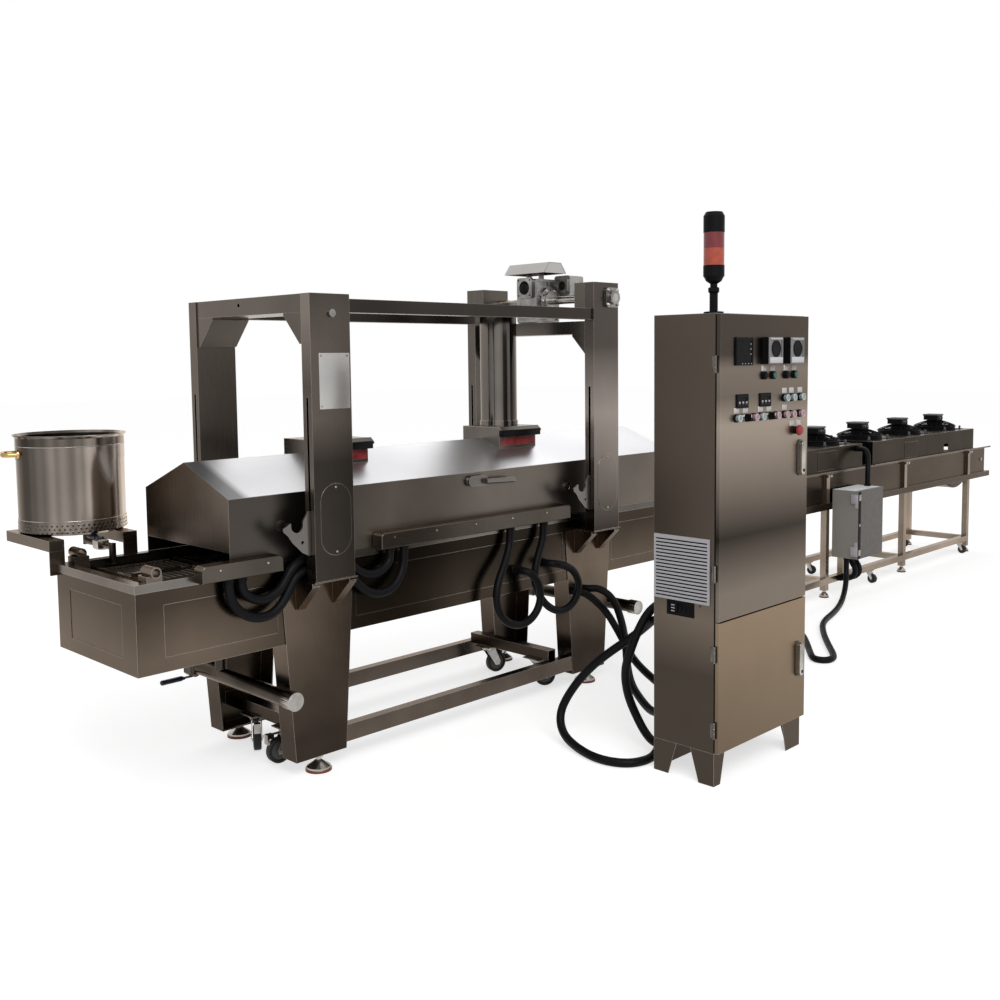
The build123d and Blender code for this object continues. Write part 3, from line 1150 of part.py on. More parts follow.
def make_cabinet_body():
    """Sheets round two bays, on a plinth whose front and sides are cut out between the feet."""
    wall = CABINET_SHEET
    x, y = (CABINET_LEFT, CABINET_RIGHT), (CABINET_FRONT, CABINET_BACK)
    inner_x, inner_y = (x[0] + wall, x[1] - wall), (y[0], y[1] - wall)
    left = block((x[0], inner_x[0]), y, (PLINTH, CABINET_HEIGHT))
    right = Pos(CABINET_WIDTH - wall, 0, 0) * left
    for y_range, z_range in ((VENT_Y, VENT_Z), (WINDOW_Y, WINDOW_Z)):
        left -= block((x[0] - 1, x[0] + wall + 1), y_range, z_range)
    sheets = [left, right, block(inner_x, (inner_y[1], y[1]), (0, CABINET_HEIGHT))]
    for z in ((PLINTH, PLINTH + wall), (DOOR_SPLIT - wall, DOOR_SPLIT + wall),
              (CABINET_HEIGHT - wall, CABINET_HEIGHT)):
        sheets.append(block(inner_x, inner_y, z))
    for face in cut_feet(inner_x, sum(x) / 2 + FRONT_CUT_SHIFT, FRONT_CUT):
        sheets.append(prism_y(face, (y[0], y[0] + wall)))
    for face in cut_feet(y, sum(y) / 2, SIDE_CUT):
        foot_sheet = prism_x(face, (x[0], inner_x[0]))
        sheets += [foot_sheet, Pos(CABINET_WIDTH - wall, 0, 0) * foot_sheet]
    ends = [ROUTES[name][-1] for name in ("leg_upper", "leg_lower", "cabinet_drop", "cabinet_loop",
                                          "box_to_cabinet")]
    ends += [ROUTES[name][0] for name in ("cabinet_drop", "cabinet_loop")]
    return sheets + [rod((x, CABINET_BACK, z), (x, y, z), GLAND_RADIUS) for x, y, z in ends]


def make_vent_grille():
    """A framed bank of louvres and a small window in the cabinet's side."""
    left = CABINET_LEFT - 6
    frame = block((left, CABINET_LEFT), (VENT_Y[0] - 8, VENT_Y[1] + 8), (VENT_Z[0] - 8, VENT_Z[1] + 8))
    pitch = (VENT_Z[1] - VENT_Z[0]) / VENT_LOUVRES
    for count in range(VENT_LOUVRES):
        z = VENT_Z[0] + pitch * (count + 0.5)
        gap = outline((left - 1, z - pitch * 0.40), (CABINET_LEFT + 1, z + pitch * 0.02),
                      (CABINET_LEFT + 1, z + pitch * 0.40), (left - 1, z - pitch * 0.02))
        frame -= prism_y(gap, VENT_Y)
    pane = block((CABINET_LEFT - 3, CABINET_LEFT), (WINDOW_Y[0] - 6, WINDOW_Y[1] + 6),
                 (WINDOW_Z[0] - 6, WINDOW_Z[1] + 6))
    return [frame, pane]


def make_control_gear():
    """The mounting plate on the cabinet's back wall with its rows of switchgear."""
    back = CABINET_BACK - CABINET_SHEET
    solids = []
    for z, rows in (((PLINTH + 40, DOOR_SPLIT - 40), 1), ((DOOR_SPLIT + 60, CABINET_HEIGHT - 60), 3)):
        plate_x = (CABINET_LEFT + 40, CABINET_RIGHT - 40)
        solids.append(block(plate_x, (back - 3, back), z))
        step = (z[1] - z[0]) / rows
        for row in range(rows):
            low = z[0] + step * (row + 0.3)
            for count in range(len(GEAR_HEIGHTS)):
                left = plate_x[0] + GEAR_WIDTH / 2 + GEAR_PITCH * count
                size = ((left, left + GEAR_WIDTH), (back - 3 - GEAR_DEPTH, back - 3),
                        (low, low + GEAR_HEIGHTS[count]))
                solids.append(block(*size))
    return solids


def door(z):
    """A folded door: a tray whose open side faces the cabinet."""
    face = (DOOR_FACE, DOOR_FACE + DOOR_DEPTH)
    body = block((CABINET_LEFT, CABINET_RIGHT), face, z)
    body = fillet(body.edges().group_by(Axis.Y)[0], 3)
    wall = CABINET_SHEET
    return body - block((CABINET_LEFT + wall, CABINET_RIGHT - wall), (face[0] + wall, face[1] + 1),
                        (z[0] + wall, z[1] - wall))


def handle_plate(at):
    x, z = at
    plate = Pos(x, z) * SlotOverall(HANDLE_LENGTH + 12, HANDLE_WIDTH + 8, rotation=90)
    return prism_y(plate, (DOOR_FACE - 6, DOOR_FACE))


def swing_handle(at):
    """A swing handle lying in its plate, hinged near its upper end."""
    x, z = at
    front = DOOR_FACE - 6 - SEAT_GAP
    bar = Pos(x, z) * SlotOverall(HANDLE_LENGTH, HANDLE_WIDTH, rotation=90)
    body = prism_y(bar, (front - HANDLE_DEPTH, front))
    return [fillet(body.edges().group_by(Axis.Y)[0], 4)]


def make_upper_door():
    return [door((DOOR_SPLIT + DOOR_MARGIN, CABINET_HEIGHT - DOOR_MARGIN)), handle_plate(UPPER_HANDLE)]


def make_lower_door():
    return [door((PLINTH + DOOR_MARGIN, DOOR_SPLIT - DOOR_MARGIN)), handle_plate(LOWER_HANDLE)]


def bezel(at, bore):
    x, z = at
    return pipe((x, DOOR_FACE - 10, z), (x, DOOR_FACE, z), BEZEL_RADIUS, bore)


def make_panel_instruments():
    solids = []
    for x, z, width, height, depth in METERS:
        case = block(around(x, width), (DOOR_FACE - depth, DOOR_FACE), around(z, height))
        front = case.edges().group_by(Axis.Y)[0]
        case = chamfer(front, 3)
        case -= block(around(x, width - 20), (DOOR_FACE - depth - 1, DOOR_FACE - depth + 2),
                      around(z, height - 24))
        solids.append(case)
    for x, z in LAMPS:
        profile = [(0, 0), (BEZEL_RADIUS, 0), (BEZEL_RADIUS, 5), (BEZEL_RADIUS - 4, 5),
                   (BEZEL_RADIUS - 4, 10),
                   (BEZEL_RADIUS - 8, 13), (0, 13)]
        solids.append(turned(profile, (x, DOOR_FACE, z), (0, -1, 0)))
    solids += [bezel(at, BUTTON_RADIUS + SEAT_GAP) for at in BUTTONS.values()]
    solids += [bezel(at, BUTTON_RADIUS - 3 + RUNNING_GAP) for at in SELECTORS.values()]
    solids.append(bezel(ESTOP_AT, BUTTON_RADIUS - 1 + SEAT_GAP))
    return solids


def make_button(at):
    x, z = at
    front = DOOR_FACE - BUTTON_PROUD
    cap = rod((x, front, z), (x, front + 8, z), BUTTON_RADIUS)
    return [chamfer(cap.edges().group_by(Axis.Y)[0], 1.5)]


def make_selector(at):
    x, z = at
    front = DOOR_FACE - 10 - SEAT_GAP
    knob = rod((x, front - 5, z), (x, front, z), BEZEL_RADIUS - 1)
    knob += rod((x, front, z), (x, DOOR_FACE - 1, z), BUTTON_RADIUS - 3)
    return [knob + block(around(x, 8), (front - 17, front - 4), around(z, 25))]


def make_e_stop():
    x, z = ESTOP_AT
    seat = 10 + SEAT_GAP + ESTOP_TRAVEL
    profile = [(0, 2 + ESTOP_TRAVEL), (BUTTON_RADIUS - 1, 2 + ESTOP_TRAVEL), (BUTTON_RADIUS - 1, seat),
               (ESTOP_RADIUS, seat), (ESTOP_RADIUS, seat + 8), (ESTOP_RADIUS - 7, seat + 14),
               (0, seat + 16)]
    return [turned(profile, (x, DOOR_FACE, z), (0, -1, 0))]


def make_signal_tower():
    """A foot flange, a jointed pole, a base and two lenses under a cap."""
    base = CABINET_HEIGHT
    lens = 38
    rings = [[(0, 0), (36, 0), (36, 10), (15, 14), (15, 76), (20, 82), (20, 96), (13, 100), (13, 110),
              (28, 120),
              (lens - 2, 136), (0, 136)],
             [(0, 136), (lens, 136), (lens, 176), (0, 176)],
             [(0, 176), (lens - 1, 176), (lens - 1, 237), (0, 237)],
             [(0, 237), (lens - 1, 237), (lens - 1, 293), (0, 293)],
             [(0, 293), (lens, 293), (lens, 352), (lens - 8, 366), (0, 369)]]
    return [turned(ring, (*TOWER_AT, base)) for ring in rings]


# Cooling conveyor
def make_cooler_frame():
    tube, wall, y = COOLER_TUBE, COOLER_TUBE_WALL, -COOLER_LEG_Y
    rail_z = (COOLER_RAIL_LOW, COOLER_RAIL_LOW + tube)
    solids = []
    for x in COOLER_LEGS:
        post = tube_z(around(x, tube), around(y, tube), (COOLER_LEG_FOOT + 4, TRAY_LOW), wall)
        cap = block(around(x, tube), around(y, tube), (COOLER_LEG_FOOT, COOLER_LEG_FOOT + 4))
        solids += both(post, cap)
        solids.append(tube_y(around(x, tube), (y + tube / 2, -y - tube / 2), rail_z, wall))
    for left, right in zip(COOLER_LEGS, COOLER_LEGS[1:]):
        solids += both(tube_x((left + tube / 2, right - tube / 2), around(y, tube), rail_z, wall))
    post_y = around(y, tube)
    solids.append(tube_z(around(JUNCTION_POST_X, tube), post_y, (rail_z[1], TRAY_LOW), wall))
    for x, y, heading in COOLER_CASTORS.values():
        seat = block(around(x, 60), around(y, 46), (COOLER_RAIL_LOW - 4, COOLER_RAIL_LOW))
        solids.append(seat + rod((x, y, COOLER_RAIL_LOW - 14), (x, y, COOLER_RAIL_LOW - 4), 6))
    face = -COOLER_LEG_Y - tube / 2
    for name in ("box_to_rail_1", "box_to_rail_2"):
        x, y, z = ROUTES[name][-1]
        solids.append(rod((x, y, z), (x, face, z), GLAND_RADIUS))
    return solids


def drip_pan():
    """A dished pan under the tray, round along the line."""
    width = PAN_X[1] - PAN_X[0]
    radius = (width ** 2 / 4 + PAN_DEPTH ** 2) / (2 * PAN_DEPTH)
    axis = (sum(PAN_X) / 2, TRAY_LOW - PAN_DEPTH + radius)
    keep = Pos(axis[0], TRAY_LOW - PAN_DEPTH) * Rectangle(width + 2, 2 * PAN_DEPTH)
    outer = (Pos(*axis) * Circle(radius, align=(Align.CENTER, Align.CENTER))) & keep
    inner = (Pos(*axis) * Circle(radius - SHEET)) & keep
    return prism_y(outer, (-PAN_HALF, PAN_HALF)) - prism_y(inner, (-PAN_HALF + SHEET, PAN_HALF - SHEET))


def make_cooler_trough():
    half = COOLER_LEG_Y + COOLER_TUBE / 2
    side_y = (-COOLER_LEG_Y - 2, -COOLER_LEG_Y + 2)
    tray = block((COOLER_LEFT, TRAY_RIGHT), (-half, half), (TRAY_LOW, TROUGH_LOW))
    tray -= block((COOLER_LEFT + SHEET, TRAY_RIGHT - SHEET), (-half + SHEET, half - SHEET),
                  (TRAY_LOW + SHEET, TROUGH_LOW + 1))
    tray += block((COOLER_LEFT, TRAY_RIGHT), (-half, -half + 40), (TROUGH_LOW - SHEET, TROUGH_LOW))
    tray += block((COOLER_LEFT, TRAY_RIGHT), (half - 40, half), (TROUGH_LOW - SHEET, TROUGH_LOW))
    side = block((COOLER_LEFT, COOLER_RIGHT), side_y, (TROUGH_LOW, TROUGH_TOP))
    side -= rod((COOLER_DRIVE_X, side_y[0] - 1, COOLER_BELT_Z),
                (COOLER_DRIVE_X, side_y[1] + 1, COOLER_BELT_Z),
                COOLER_ROLLER_SHAFT + RUNNING_GAP)
    guide = block((COOLER_LEFT, GUIDE_RIGHT), (side_y[0] - 4, side_y[1] + 4),
                  (TROUGH_TOP, TROUGH_TOP + GUIDE_HEIGHT))
    solids = [tray, drip_pan()] + both(side, guide)
    for x in COOLER_LEGS:
        solids += both(block(around(x, COOLER_TUBE), (-half, side_y[0]), (TROUGH_LOW, TROUGH_TOP)))
    inner = COOLER_LEG_Y - 2
    solids.append(rod((COOLER_TAIL_X, -inner, COOLER_BELT_Z), (COOLER_TAIL_X, inner, COOLER_BELT_Z),
                      COOLER_BELT_RADIUS - BELT_THICKNESS - SEAT_GAP))
    return solids


def make_cooler_belt():
    return [belt_loop((COOLER_TAIL_X, COOLER_DRIVE_X), COOLER_BELT_Z, COOLER_BELT_RADIUS, BELT_THICKNESS,
                      COOLER_BELT_HALF)]


def make_cooler_drive_roller():
    x, z, end = COOLER_DRIVE_X, COOLER_BELT_Z, COOLER_LEG_Y + 10
    roller = rod((x, -COOLER_BELT_HALF, z), (x, COOLER_BELT_HALF, z),
                 COOLER_BELT_RADIUS - BELT_THICKNESS - SEAT_GAP)
    return [roller + rod((x, -end, z), (x, end, z), COOLER_ROLLER_SHAFT)]


def make_fan_boxes():
    """Two boxes of sheets on the trough, with round holes under the fans, hatches and a slot window."""
    solids = []
    z = (FAN_BOX_LOW, FAN_BOX_TOP - SHEET)
    inner = FAN_BOX_HALF - SHEET
    for left, right in FAN_BOXES:
        lid = block((left, right), (-FAN_BOX_HALF, FAN_BOX_HALF), (z[1], FAN_BOX_TOP))
        for x in FAN_X:
            if left < x < right:
                lid -= rod((x, 0, z[1] - 1), (x, 0, FAN_BOX_TOP + 1), FAN_RADIUS - 10)
        front, back = both(block((left, right), (-FAN_BOX_HALF, -inner), z))
        if left < SLOT_WINDOW[0][0] < right:
            front -= block(SLOT_WINDOW[0], (-FAN_BOX_HALF - 1, -inner + 1), SLOT_WINDOW[1])
        end = block((left, left + SHEET), (-inner, inner), z)
        flange = block((left, right), (-COOLER_LEG_Y - 6, -FAN_BOX_HALF),
                       (FAN_BOX_LOW, FAN_BOX_LOW + SHEET))
        solids += [lid, front, back, end, Pos(right - left - SHEET, 0, 0) * end] + both(flange)
    for hatch_x, hatch_z in HATCHES:
        solids.append(block(hatch_x, (-FAN_BOX_HALF - SHEET, -FAN_BOX_HALF), hatch_z))
    x, y, z = ROUTES["box_to_fans"][-1]
    return solids + [rod((x, y, z), (x, -FAN_BOX_HALF, z), GLAND_RADIUS)]


def fan_unit(x):
    """An axial fan: a ring with its spokes, a motor, a terminal box and a round can beside it."""
    low = FAN_BOX_TOP
    ring = pipe((x, 0, low), (x, 0, low + FAN_RING), FAN_RADIUS, FAN_RADIUS - 6)
    plate = block(around(x, 2 * FAN_RADIUS + 20), around(0, 2 * FAN_RADIUS + 20), (low, low + 3))
    plate -= rod((x, 0, low - 1), (x, 0, low + 4), FAN_RADIUS - 6)
    for turn in (45, 135):
        spoke = block((-FAN_RADIUS + 3, FAN_RADIUS - 3), (-6, 6), (low + FAN_RING - 12, low + FAN_RING))
        ring += place(spoke, (x, 0, 0), turn)
    motor_top = low + FAN_RING - 12 + FAN_MOTOR_HEIGHT - 20
    motor = rod((x, 0, low + 8), (x, 0, motor_top), FAN_MOTOR_RADIUS)
    terminal = block(around(x - 30, TERMINAL_SIZE), around(0, TERMINAL_SIZE),
                     (motor_top, motor_top + TERMINAL_HEIGHT))
    terminal = fillet(terminal.edges().filter_by(Axis.Z), 10)
    can = rod((x + 62, 0, low + FAN_RING), (x + 62, 0, motor_top + 20), 34)
    arm = block((x + 40, x + 62), (-10, 10), (low + FAN_RING - 12, low + FAN_RING))
    return ring + plate + motor + terminal + can + arm


def make_fan_units():
    return [fan_unit(x) for x in FAN_X]


def make_junction_box():
    """Sheets round an open front, a mounting plate inside and the glands of the conduits."""
    x, y, z = (JUNCTION_LEFT, JUNCTION_RIGHT), (JUNCTION_FRONT, JUNCTION_BACK), (JUNCTION_LOW, JUNCTION_TOP)
    inner_x, inner_z = (x[0] + SHEET, x[1] - SHEET), (z[0] + SHEET, z[1] - SHEET)
    left = block((x[0], inner_x[0]), y, z)
    floor = block(inner_x, y, (z[0], inner_z[0]))
    sheets = [left, Pos(JUNCTION_WIDTH - SHEET, 0, 0) * left,
              floor, Pos(0, 0, JUNCTION_HEIGHT - SHEET) * floor,
              block(inner_x, (y[1] - SHEET, y[1]), inner_z)]
    plate = block((JUNCTION_LEFT + 30, JUNCTION_RIGHT - 30),
                  (JUNCTION_BACK - SHEET - 3, JUNCTION_BACK - SHEET),
                  (JUNCTION_LOW + 30, JUNCTION_TOP - 30))
    glands = [rod(ROUTES[name][0], (*ROUTES[name][0][:2], JUNCTION_LOW), GLAND_RADIUS)
              for name in ("box_to_cabinet", "box_to_rail_1", "box_to_rail_2")]
    top = ROUTES["box_to_fans"][0]
    return sheets + [plate, rod((*top[:2], JUNCTION_TOP), top, GLAND_RADIUS)] + glands


def make_junction_door():
    face = JUNCTION_FRONT - SEAT_GAP - JUNCTION_DOOR
    body = block((JUNCTION_LEFT, JUNCTION_RIGHT), (face, face + JUNCTION_DOOR),
                 (JUNCTION_LOW, JUNCTION_TOP))
    body = fillet(body.edges().group_by(Axis.Y)[0], 3)
    body -= block((JUNCTION_LEFT + SHEET, JUNCTION_RIGHT - SHEET), (face + SHEET, face + JUNCTION_DOOR + 1),
                  (JUNCTION_LOW + SHEET, JUNCTION_TOP - SHEET))
    latches = [block((JUNCTION_LEFT - 6, JUNCTION_LEFT), (face + 2, face + JUNCTION_DOOR), around(z, 36))
               for z in (JUNCTION_LOW + 90, JUNCTION_TOP - 90)]
    return [body] + latches


# Conduits
def conduit(name):
    """A conduit along its straight runs, joined by the largest arcs that they allow."""
    points = ROUTES[name]
    runs = [Vector(*end) - Vector(*start) for start, end in zip(points, points[1:])]
    radii = []
    for before, after in zip(runs, runs[1:]):
        turn = radians(before.get_angle(after))
        radii.append(0.45 * min(before.length, after.length) / tan(turn / 2))
    path = FilletPolyline(*points, radius=radii)
    tube = sweep(Plane(origin=points[0], z_dir=runs[0]) * Circle(CONDUIT_RADIUS), path=path)
    share = tube.volume / (pi * CONDUIT_RADIUS ** 2 * path.length)
    print(name, "length", round(path.length), "volume share", round(share, 4), "radii",
          [round(r) for r in radii])
    return tube


def gland(at, toward):
    """A cable gland from the face that carries it to the end of its conduit."""
    end = [value + step * GLAND_LENGTH for value, step in zip(at, toward)]
    return rod(at, end, GLAND_RADIUS)


NODES = {
    "fryer_frame": make_fryer_frame(),
    "levelling_feet": make_levelling_feet(),
    "oil_tank": make_oil_tank(),
    "gantry_frame": make_gantry_frame(),
    "lift_drive": make_lift_drive(),
    "lift_shaft": make_lift_shaft(),
    "lift_hooks": make_lift_hooks(),
    "hood_shell": make_hood_shell(),
    "exhaust_boxes": make_exhaust_boxes(),
    "hood_lever": make_hood_lever(),
    "lift_rods_front": make_lift_rods(-1),
    "lift_rods_back": make_lift_rods(1),
    "heater_banks": make_heater_banks(),
    "conveyor_frame": make_conveyor_frame(),
    "fryer_belt": make_fryer_belt(),
    "fryer_drive_shaft": make_fryer_drive_shaft(),
    "oil_pot": make_oil_pot(),
    "pot_bracket": make_pot_bracket(),
    "oil_pipework": make_oil_pipework(),
    "pot_valve_lever": make_pot_valve_lever(),
    "drain_valve_lever": make_drain_valve_lever(),
    "cabinet_body": make_cabinet_body(),
    "control_gear": make_control_gear(),
    "vent_grille": make_vent_grille(),
    "signal_tower": make_signal_tower(),
    "upper_door": make_upper_door(),
    "lower_door": make_lower_door(),
    "panel_instruments": make_panel_instruments(),
    "upper_handle": swing_handle(UPPER_HANDLE),
    "lower_handle": swing_handle(LOWER_HANDLE),
    "e_stop": make_e_stop(),
    "cooler_frame": make_cooler_frame(),
    "cooler_trough": make_cooler_trough(),
    "cooler_belt": make_cooler_belt(),
    "cooler_drive_roller": make_cooler_drive_roller(),
    "fan_boxes": make_fan_boxes(),
    "fan_units": make_fan_units(),
    "junction_box": make_junction_box(),
    "junction_door": make_junction_door(),
}
for name, at in BUTTONS.items():
    NODES[name] = make_button(at)
for name, at in SELECTORS.items():
    NODES[name] = make_selector(at)
for name, (x, y, heading) in CASTORS.items():
    NODES["castor_fork_" + name] = [place(castor_fork(), (x, y, 0), heading)]
    NODES["castor_wheel_" + name] = [place(castor_wheel(), (x, y, 0), heading)]
for name, (x, y, heading) in COOLER_CASTORS.items():
    NODES[name] = [place(shape, (x, y, 0), heading) for shape in cooler_castor()]

# The finished line moves to the bottom centre of its box, without the loose conduits
CONDUITS = {
    "heater_conduits": [conduit(name) for name in ("jumper_upper", "jumper_lower", "loop_left",
                                                   "loop_right")],
    "floor_conduits": [conduit(name) for name in ("leg_upper", "leg_lower", "cabinet_drop",
                                                  "cabinet_loop")],
    "junction_conduits": [conduit(name) for name in ("box_to_cabinet", "box_to_rail_1", "box_to_rail_2",
                                                     "box_to_fans")],
}
whole = Compound([solid for shapes in NODES.values() for shape in shapes for solid in shape.solids()])
box = whole.bounding_box()
ORIGIN = ((box.min.X + box.max.X) / 2, (box.min.Y + box.max.Y) / 2, box.min.Z)

os.makedirs("parts", exist_ok=True)
for name, shapes in {**NODES, **CONDUITS}.items():
    solids = [Pos(-ORIGIN[0], -ORIGIN[1], -ORIGIN[2]) * solid for shape in shapes
              for solid in shape.solids()]
    export_step(Compound(solids), f"parts/{name}.step")
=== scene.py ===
from math import cos, pi, radians, sin

import bmesh
import bpy
from mathutils import Matrix, Vector


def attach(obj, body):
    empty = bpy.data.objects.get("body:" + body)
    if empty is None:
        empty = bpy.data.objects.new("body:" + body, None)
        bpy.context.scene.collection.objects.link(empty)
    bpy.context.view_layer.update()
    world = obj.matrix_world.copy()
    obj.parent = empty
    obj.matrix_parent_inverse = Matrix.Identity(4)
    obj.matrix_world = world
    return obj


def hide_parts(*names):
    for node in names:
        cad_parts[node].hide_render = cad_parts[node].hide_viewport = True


# A continuous fryer line with its lifting hood, control cabinet and cooling conveyor.
# Places are written as on the drawing, in millimetres: X = 0 is the infeed face of the gantry,
# Y = 0 the line's centre and Z = 0 the floor. place() moves them to the shared frame in metres.
ORIGIN = Vector((3035.5455, -387.3, 0.0))

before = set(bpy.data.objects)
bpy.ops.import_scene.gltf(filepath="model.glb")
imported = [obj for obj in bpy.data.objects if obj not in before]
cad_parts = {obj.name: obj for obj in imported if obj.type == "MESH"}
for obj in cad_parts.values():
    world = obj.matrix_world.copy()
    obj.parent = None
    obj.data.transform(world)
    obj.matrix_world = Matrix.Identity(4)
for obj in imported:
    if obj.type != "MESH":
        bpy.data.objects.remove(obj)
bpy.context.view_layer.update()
scene = bpy.context.scene
scene.view_settings.view_transform = "Standard"


def place(x, y, z):
    """A place on the drawing as a point of the shared frame."""
    return (Vector((x, y, z)) - ORIGIN) / 1000


def drawn(point):
    """A point of the shared frame as millimetres on the drawing."""
    return Vector(point) * 1000 + ORIGIN


# Camera
YAW, PITCH, ROLL = 0.790565, 0.083269, 0.011129
FOCAL_PIXELS = 1092.19
PICTURE = 1000
SENSOR = 36.0
PRINCIPAL_RISE = 50
CAMERA_AT = (-2284.1, -3610.6, 1545)


def make_camera():
    data = bpy.data.cameras.new("camera")
    data.sensor_width = SENSOR
    data.lens = FOCAL_PIXELS / PICTURE * SENSOR
    data.shift_y = -PRINCIPAL_RISE / PICTURE
    data.clip_end = 100
    camera = bpy.data.objects.new("camera", data)
    scene.collection.objects.link(camera)
    ahead = Vector((sin(YAW) * cos(PITCH), cos(YAW) * cos(PITCH), -sin(PITCH)))
    right = Vector((cos(YAW), -sin(YAW), 0))
    down = ahead.cross(right)
    right, down = right * cos(ROLL) + down * sin(ROLL), down * cos(ROLL) - right * sin(ROLL)
    turn = Matrix((right, -down, -ahead)).transposed().to_4x4()
    camera.matrix_world = Matrix.Translation(place(*CAMERA_AT)) @ turn
    scene.camera = camera


make_camera()


# Materials
MATERIALS = {}
# The colour of the painted highlight along sharp steel edges
EDGE_HIGHLIGHT = (0.42, 0.39, 0.36)


def nodes_of(name):
    material = bpy.data.materials.new(name)
    material.use_nodes = True
    tree = material.node_tree
    return material, tree, tree.nodes["Principled BSDF"]


def link(tree, source, target):
    tree.links.new(source, target)


def noise(tree, scale, detail, stretch=(1, 1, 1)):
    """Noise in object coordinates, stretched for a grain."""
    source = tree.nodes.new("ShaderNodeTexCoord")
    mapping = tree.nodes.new("ShaderNodeMapping")
    mapping.inputs["Scale"].default_value = stretch
    link(tree, source.outputs["Object"], mapping.inputs["Vector"])
    texture = tree.nodes.new("ShaderNodeTexNoise")
    texture.inputs["Scale"].default_value = scale
    texture.inputs["Detail"].default_value = detail
    link(tree, mapping.outputs["Vector"], texture.inputs["Vector"])
    return texture.outputs["Fac"]


def opaque(value):
    return (value, value, value, 1) if isinstance(value, float) else (*value, 1)


def ramp(tree, source, low, high, start=0.3, end=0.7):
    """Two colours or two grey values blended by a source between start and end."""
    stops = tree.nodes.new("ShaderNodeValToRGB")
    for element, position, value in zip(stops.color_ramp.elements, (start, end), (low, high)):
        element.position = position
        element.color = opaque(value)
    link(tree, source, stops.inputs["Fac"])
    return stops.outputs["Color"]


def levels(tree, axis, stops):
    """A grey value that changes along a direction, by stops of drawing millimetres and value."""
    source = tree.nodes.new("ShaderNodeTexCoord")
    along = tree.nodes.new("ShaderNodeVectorMath")
    along.operation = "DOT_PRODUCT"
    along.inputs[1].default_value = axis
    link(tree, source.outputs["Object"], along.inputs[0])
    low, high = stops[0][0], stops[-1][0]
    start = ORIGIN.dot(axis)
    spread = tree.nodes.new("ShaderNodeMapRange")
    spread.inputs["From Min"].default_value = (low - start) / 1000
    spread.inputs["From Max"].default_value = (high - start) / 1000
    link(tree, along.outputs["Value"], spread.inputs["Value"])
    band = tree.nodes.new("ShaderNodeValToRGB")
    elements = band.color_ramp.elements
    elements[0].color = opaque(stops[0][1])
    elements[1].color = opaque(stops[-1][1])
    for at, value in stops[1:-1]:
        elements.new((at - low) / (high - low)).color = opaque(value)
    link(tree, spread.outputs["Result"], band.inputs["Fac"])
    return band.outputs["Color"]


def blend(tree, mode, first, second, factor=1.0):
    """Two colours multiplied or mixed."""
    node = tree.nodes.new("ShaderNodeMix")
    node.data_type = "RGBA"
    node.blend_type = mode
    if isinstance(factor, float):
        node.inputs[0].default_value = factor
    else:
        link(tree, factor, node.inputs[0])
    link(tree, first, node.inputs[6])
    if isinstance(second, tuple):
        node.inputs[7].default_value = opaque(second)
    else:
        link(tree, second, node.inputs[7])
    return node.outputs[2]


def edge_highlight_mask(tree, radius):
    """A painted highlight mask: one along sharp edges and zero on the flats."""
    rounded = tree.nodes.new("ShaderNodeBevel")
    rounded.samples = 4
    rounded.inputs["Radius"].default_value = radius
    flat = tree.nodes.new("ShaderNodeNewGeometry")
    compare = tree.nodes.new("ShaderNodeVectorMath")
    compare.operation = "DOT_PRODUCT"
    link(tree, rounded.outputs["Normal"], compare.inputs[0])
    link(tree, flat.outputs["Normal"], compare.inputs[1])
    return ramp(tree, compare.outputs["Value"], 0.8, 0.0, 0.82, 0.98)


def bump(tree, shader, source, strength, distance):
    node = tree.nodes.new("ShaderNodeBump")
    node.inputs["Strength"].default_value = strength
    node.inputs["Distance"].default_value = distance
    link(tree, source, node.inputs["Height"])
    link(tree, node.outputs["Normal"], shader.inputs["Normal"])


def shade(color, factor):
    return tuple(min(1.0, part * factor) for part in color)


def steel(name, color, rough, grain, spread=0.14, patch=1.6, brush=0.015, streak=None, bands=(),
          edge=0.003, rim=(0.95, 0.87, 0.80)):
    """Sheet steel: cloudy patches, soft streaks, bands of painted reflection and shade, a drawn grain, a
    painted highlight along sharp edges and a rim tint.
    """
    material, tree, shader = nodes_of(name)
    shader.inputs["Metallic"].default_value = 1.0
    shader.inputs["Specular Tint"].default_value = opaque(rim)
    base = ramp(tree, noise(tree, patch, 4), shade(color, 1 - 2 * spread), shade(color, 1 + spread))
    if streak:
        stretch, depth = streak
        streaks = ramp(tree, noise(tree, 1.0, 0.5, stretch), 1 - depth, 1.0, 0.25, 0.75)
        base = blend(tree, "MULTIPLY", base, streaks)
    for axis, stops in bands:
        base = blend(tree, "MULTIPLY", base, levels(tree, axis, stops))
    # A painted highlight along sharp edges, mixed into the base colour
    if edge:
        base = blend(tree, "MIX", base, EDGE_HIGHLIGHT, edge_highlight_mask(tree, edge))
    link(tree, base, shader.inputs["Base Color"])
    lines = noise(tree, 1.0, 6, grain)
    link(tree, ramp(tree, lines, rough - 0.012, rough + 0.018), shader.inputs["Roughness"])
    bump(tree, shader, lines, brush, 0.0004)
    MATERIALS[name] = material


def coat(name, color, rough, shine, spread, scale, depth=0.0003):
    """Paint, plastic or rubber with a fine uneven skin."""
    material, tree, shader = nodes_of(name)
    shader.inputs["Specular IOR Level"].default_value = shine
    grains = noise(tree, scale, 4)
    tones = ramp(tree, grains, shade(color, 1 - spread), shade(color, 1 + spread))
    link(tree, tones, shader.inputs["Base Color"])
    wear = noise(tree, scale / 9, 3)
    link(tree, ramp(tree, wear, max(0.02, rough - 0.06), rough + 0.08), shader.inputs["Roughness"])
    bump(tree, shader, grains, 0.2, depth)
    MATERIALS[name] = material


ALONG, UP, ACROSS = (1, 0, 0), (0, 0, 1), (0.703, -0.711, 0)
ALONG_X, ALONG_Y, ALONG_Z = (6, 700, 700), (700, 6, 700), (700, 700, 6)
UPRIGHT = ((3, 3, 0.6), 0.16)
LYING = ((0.6, 3, 4), 0.16)
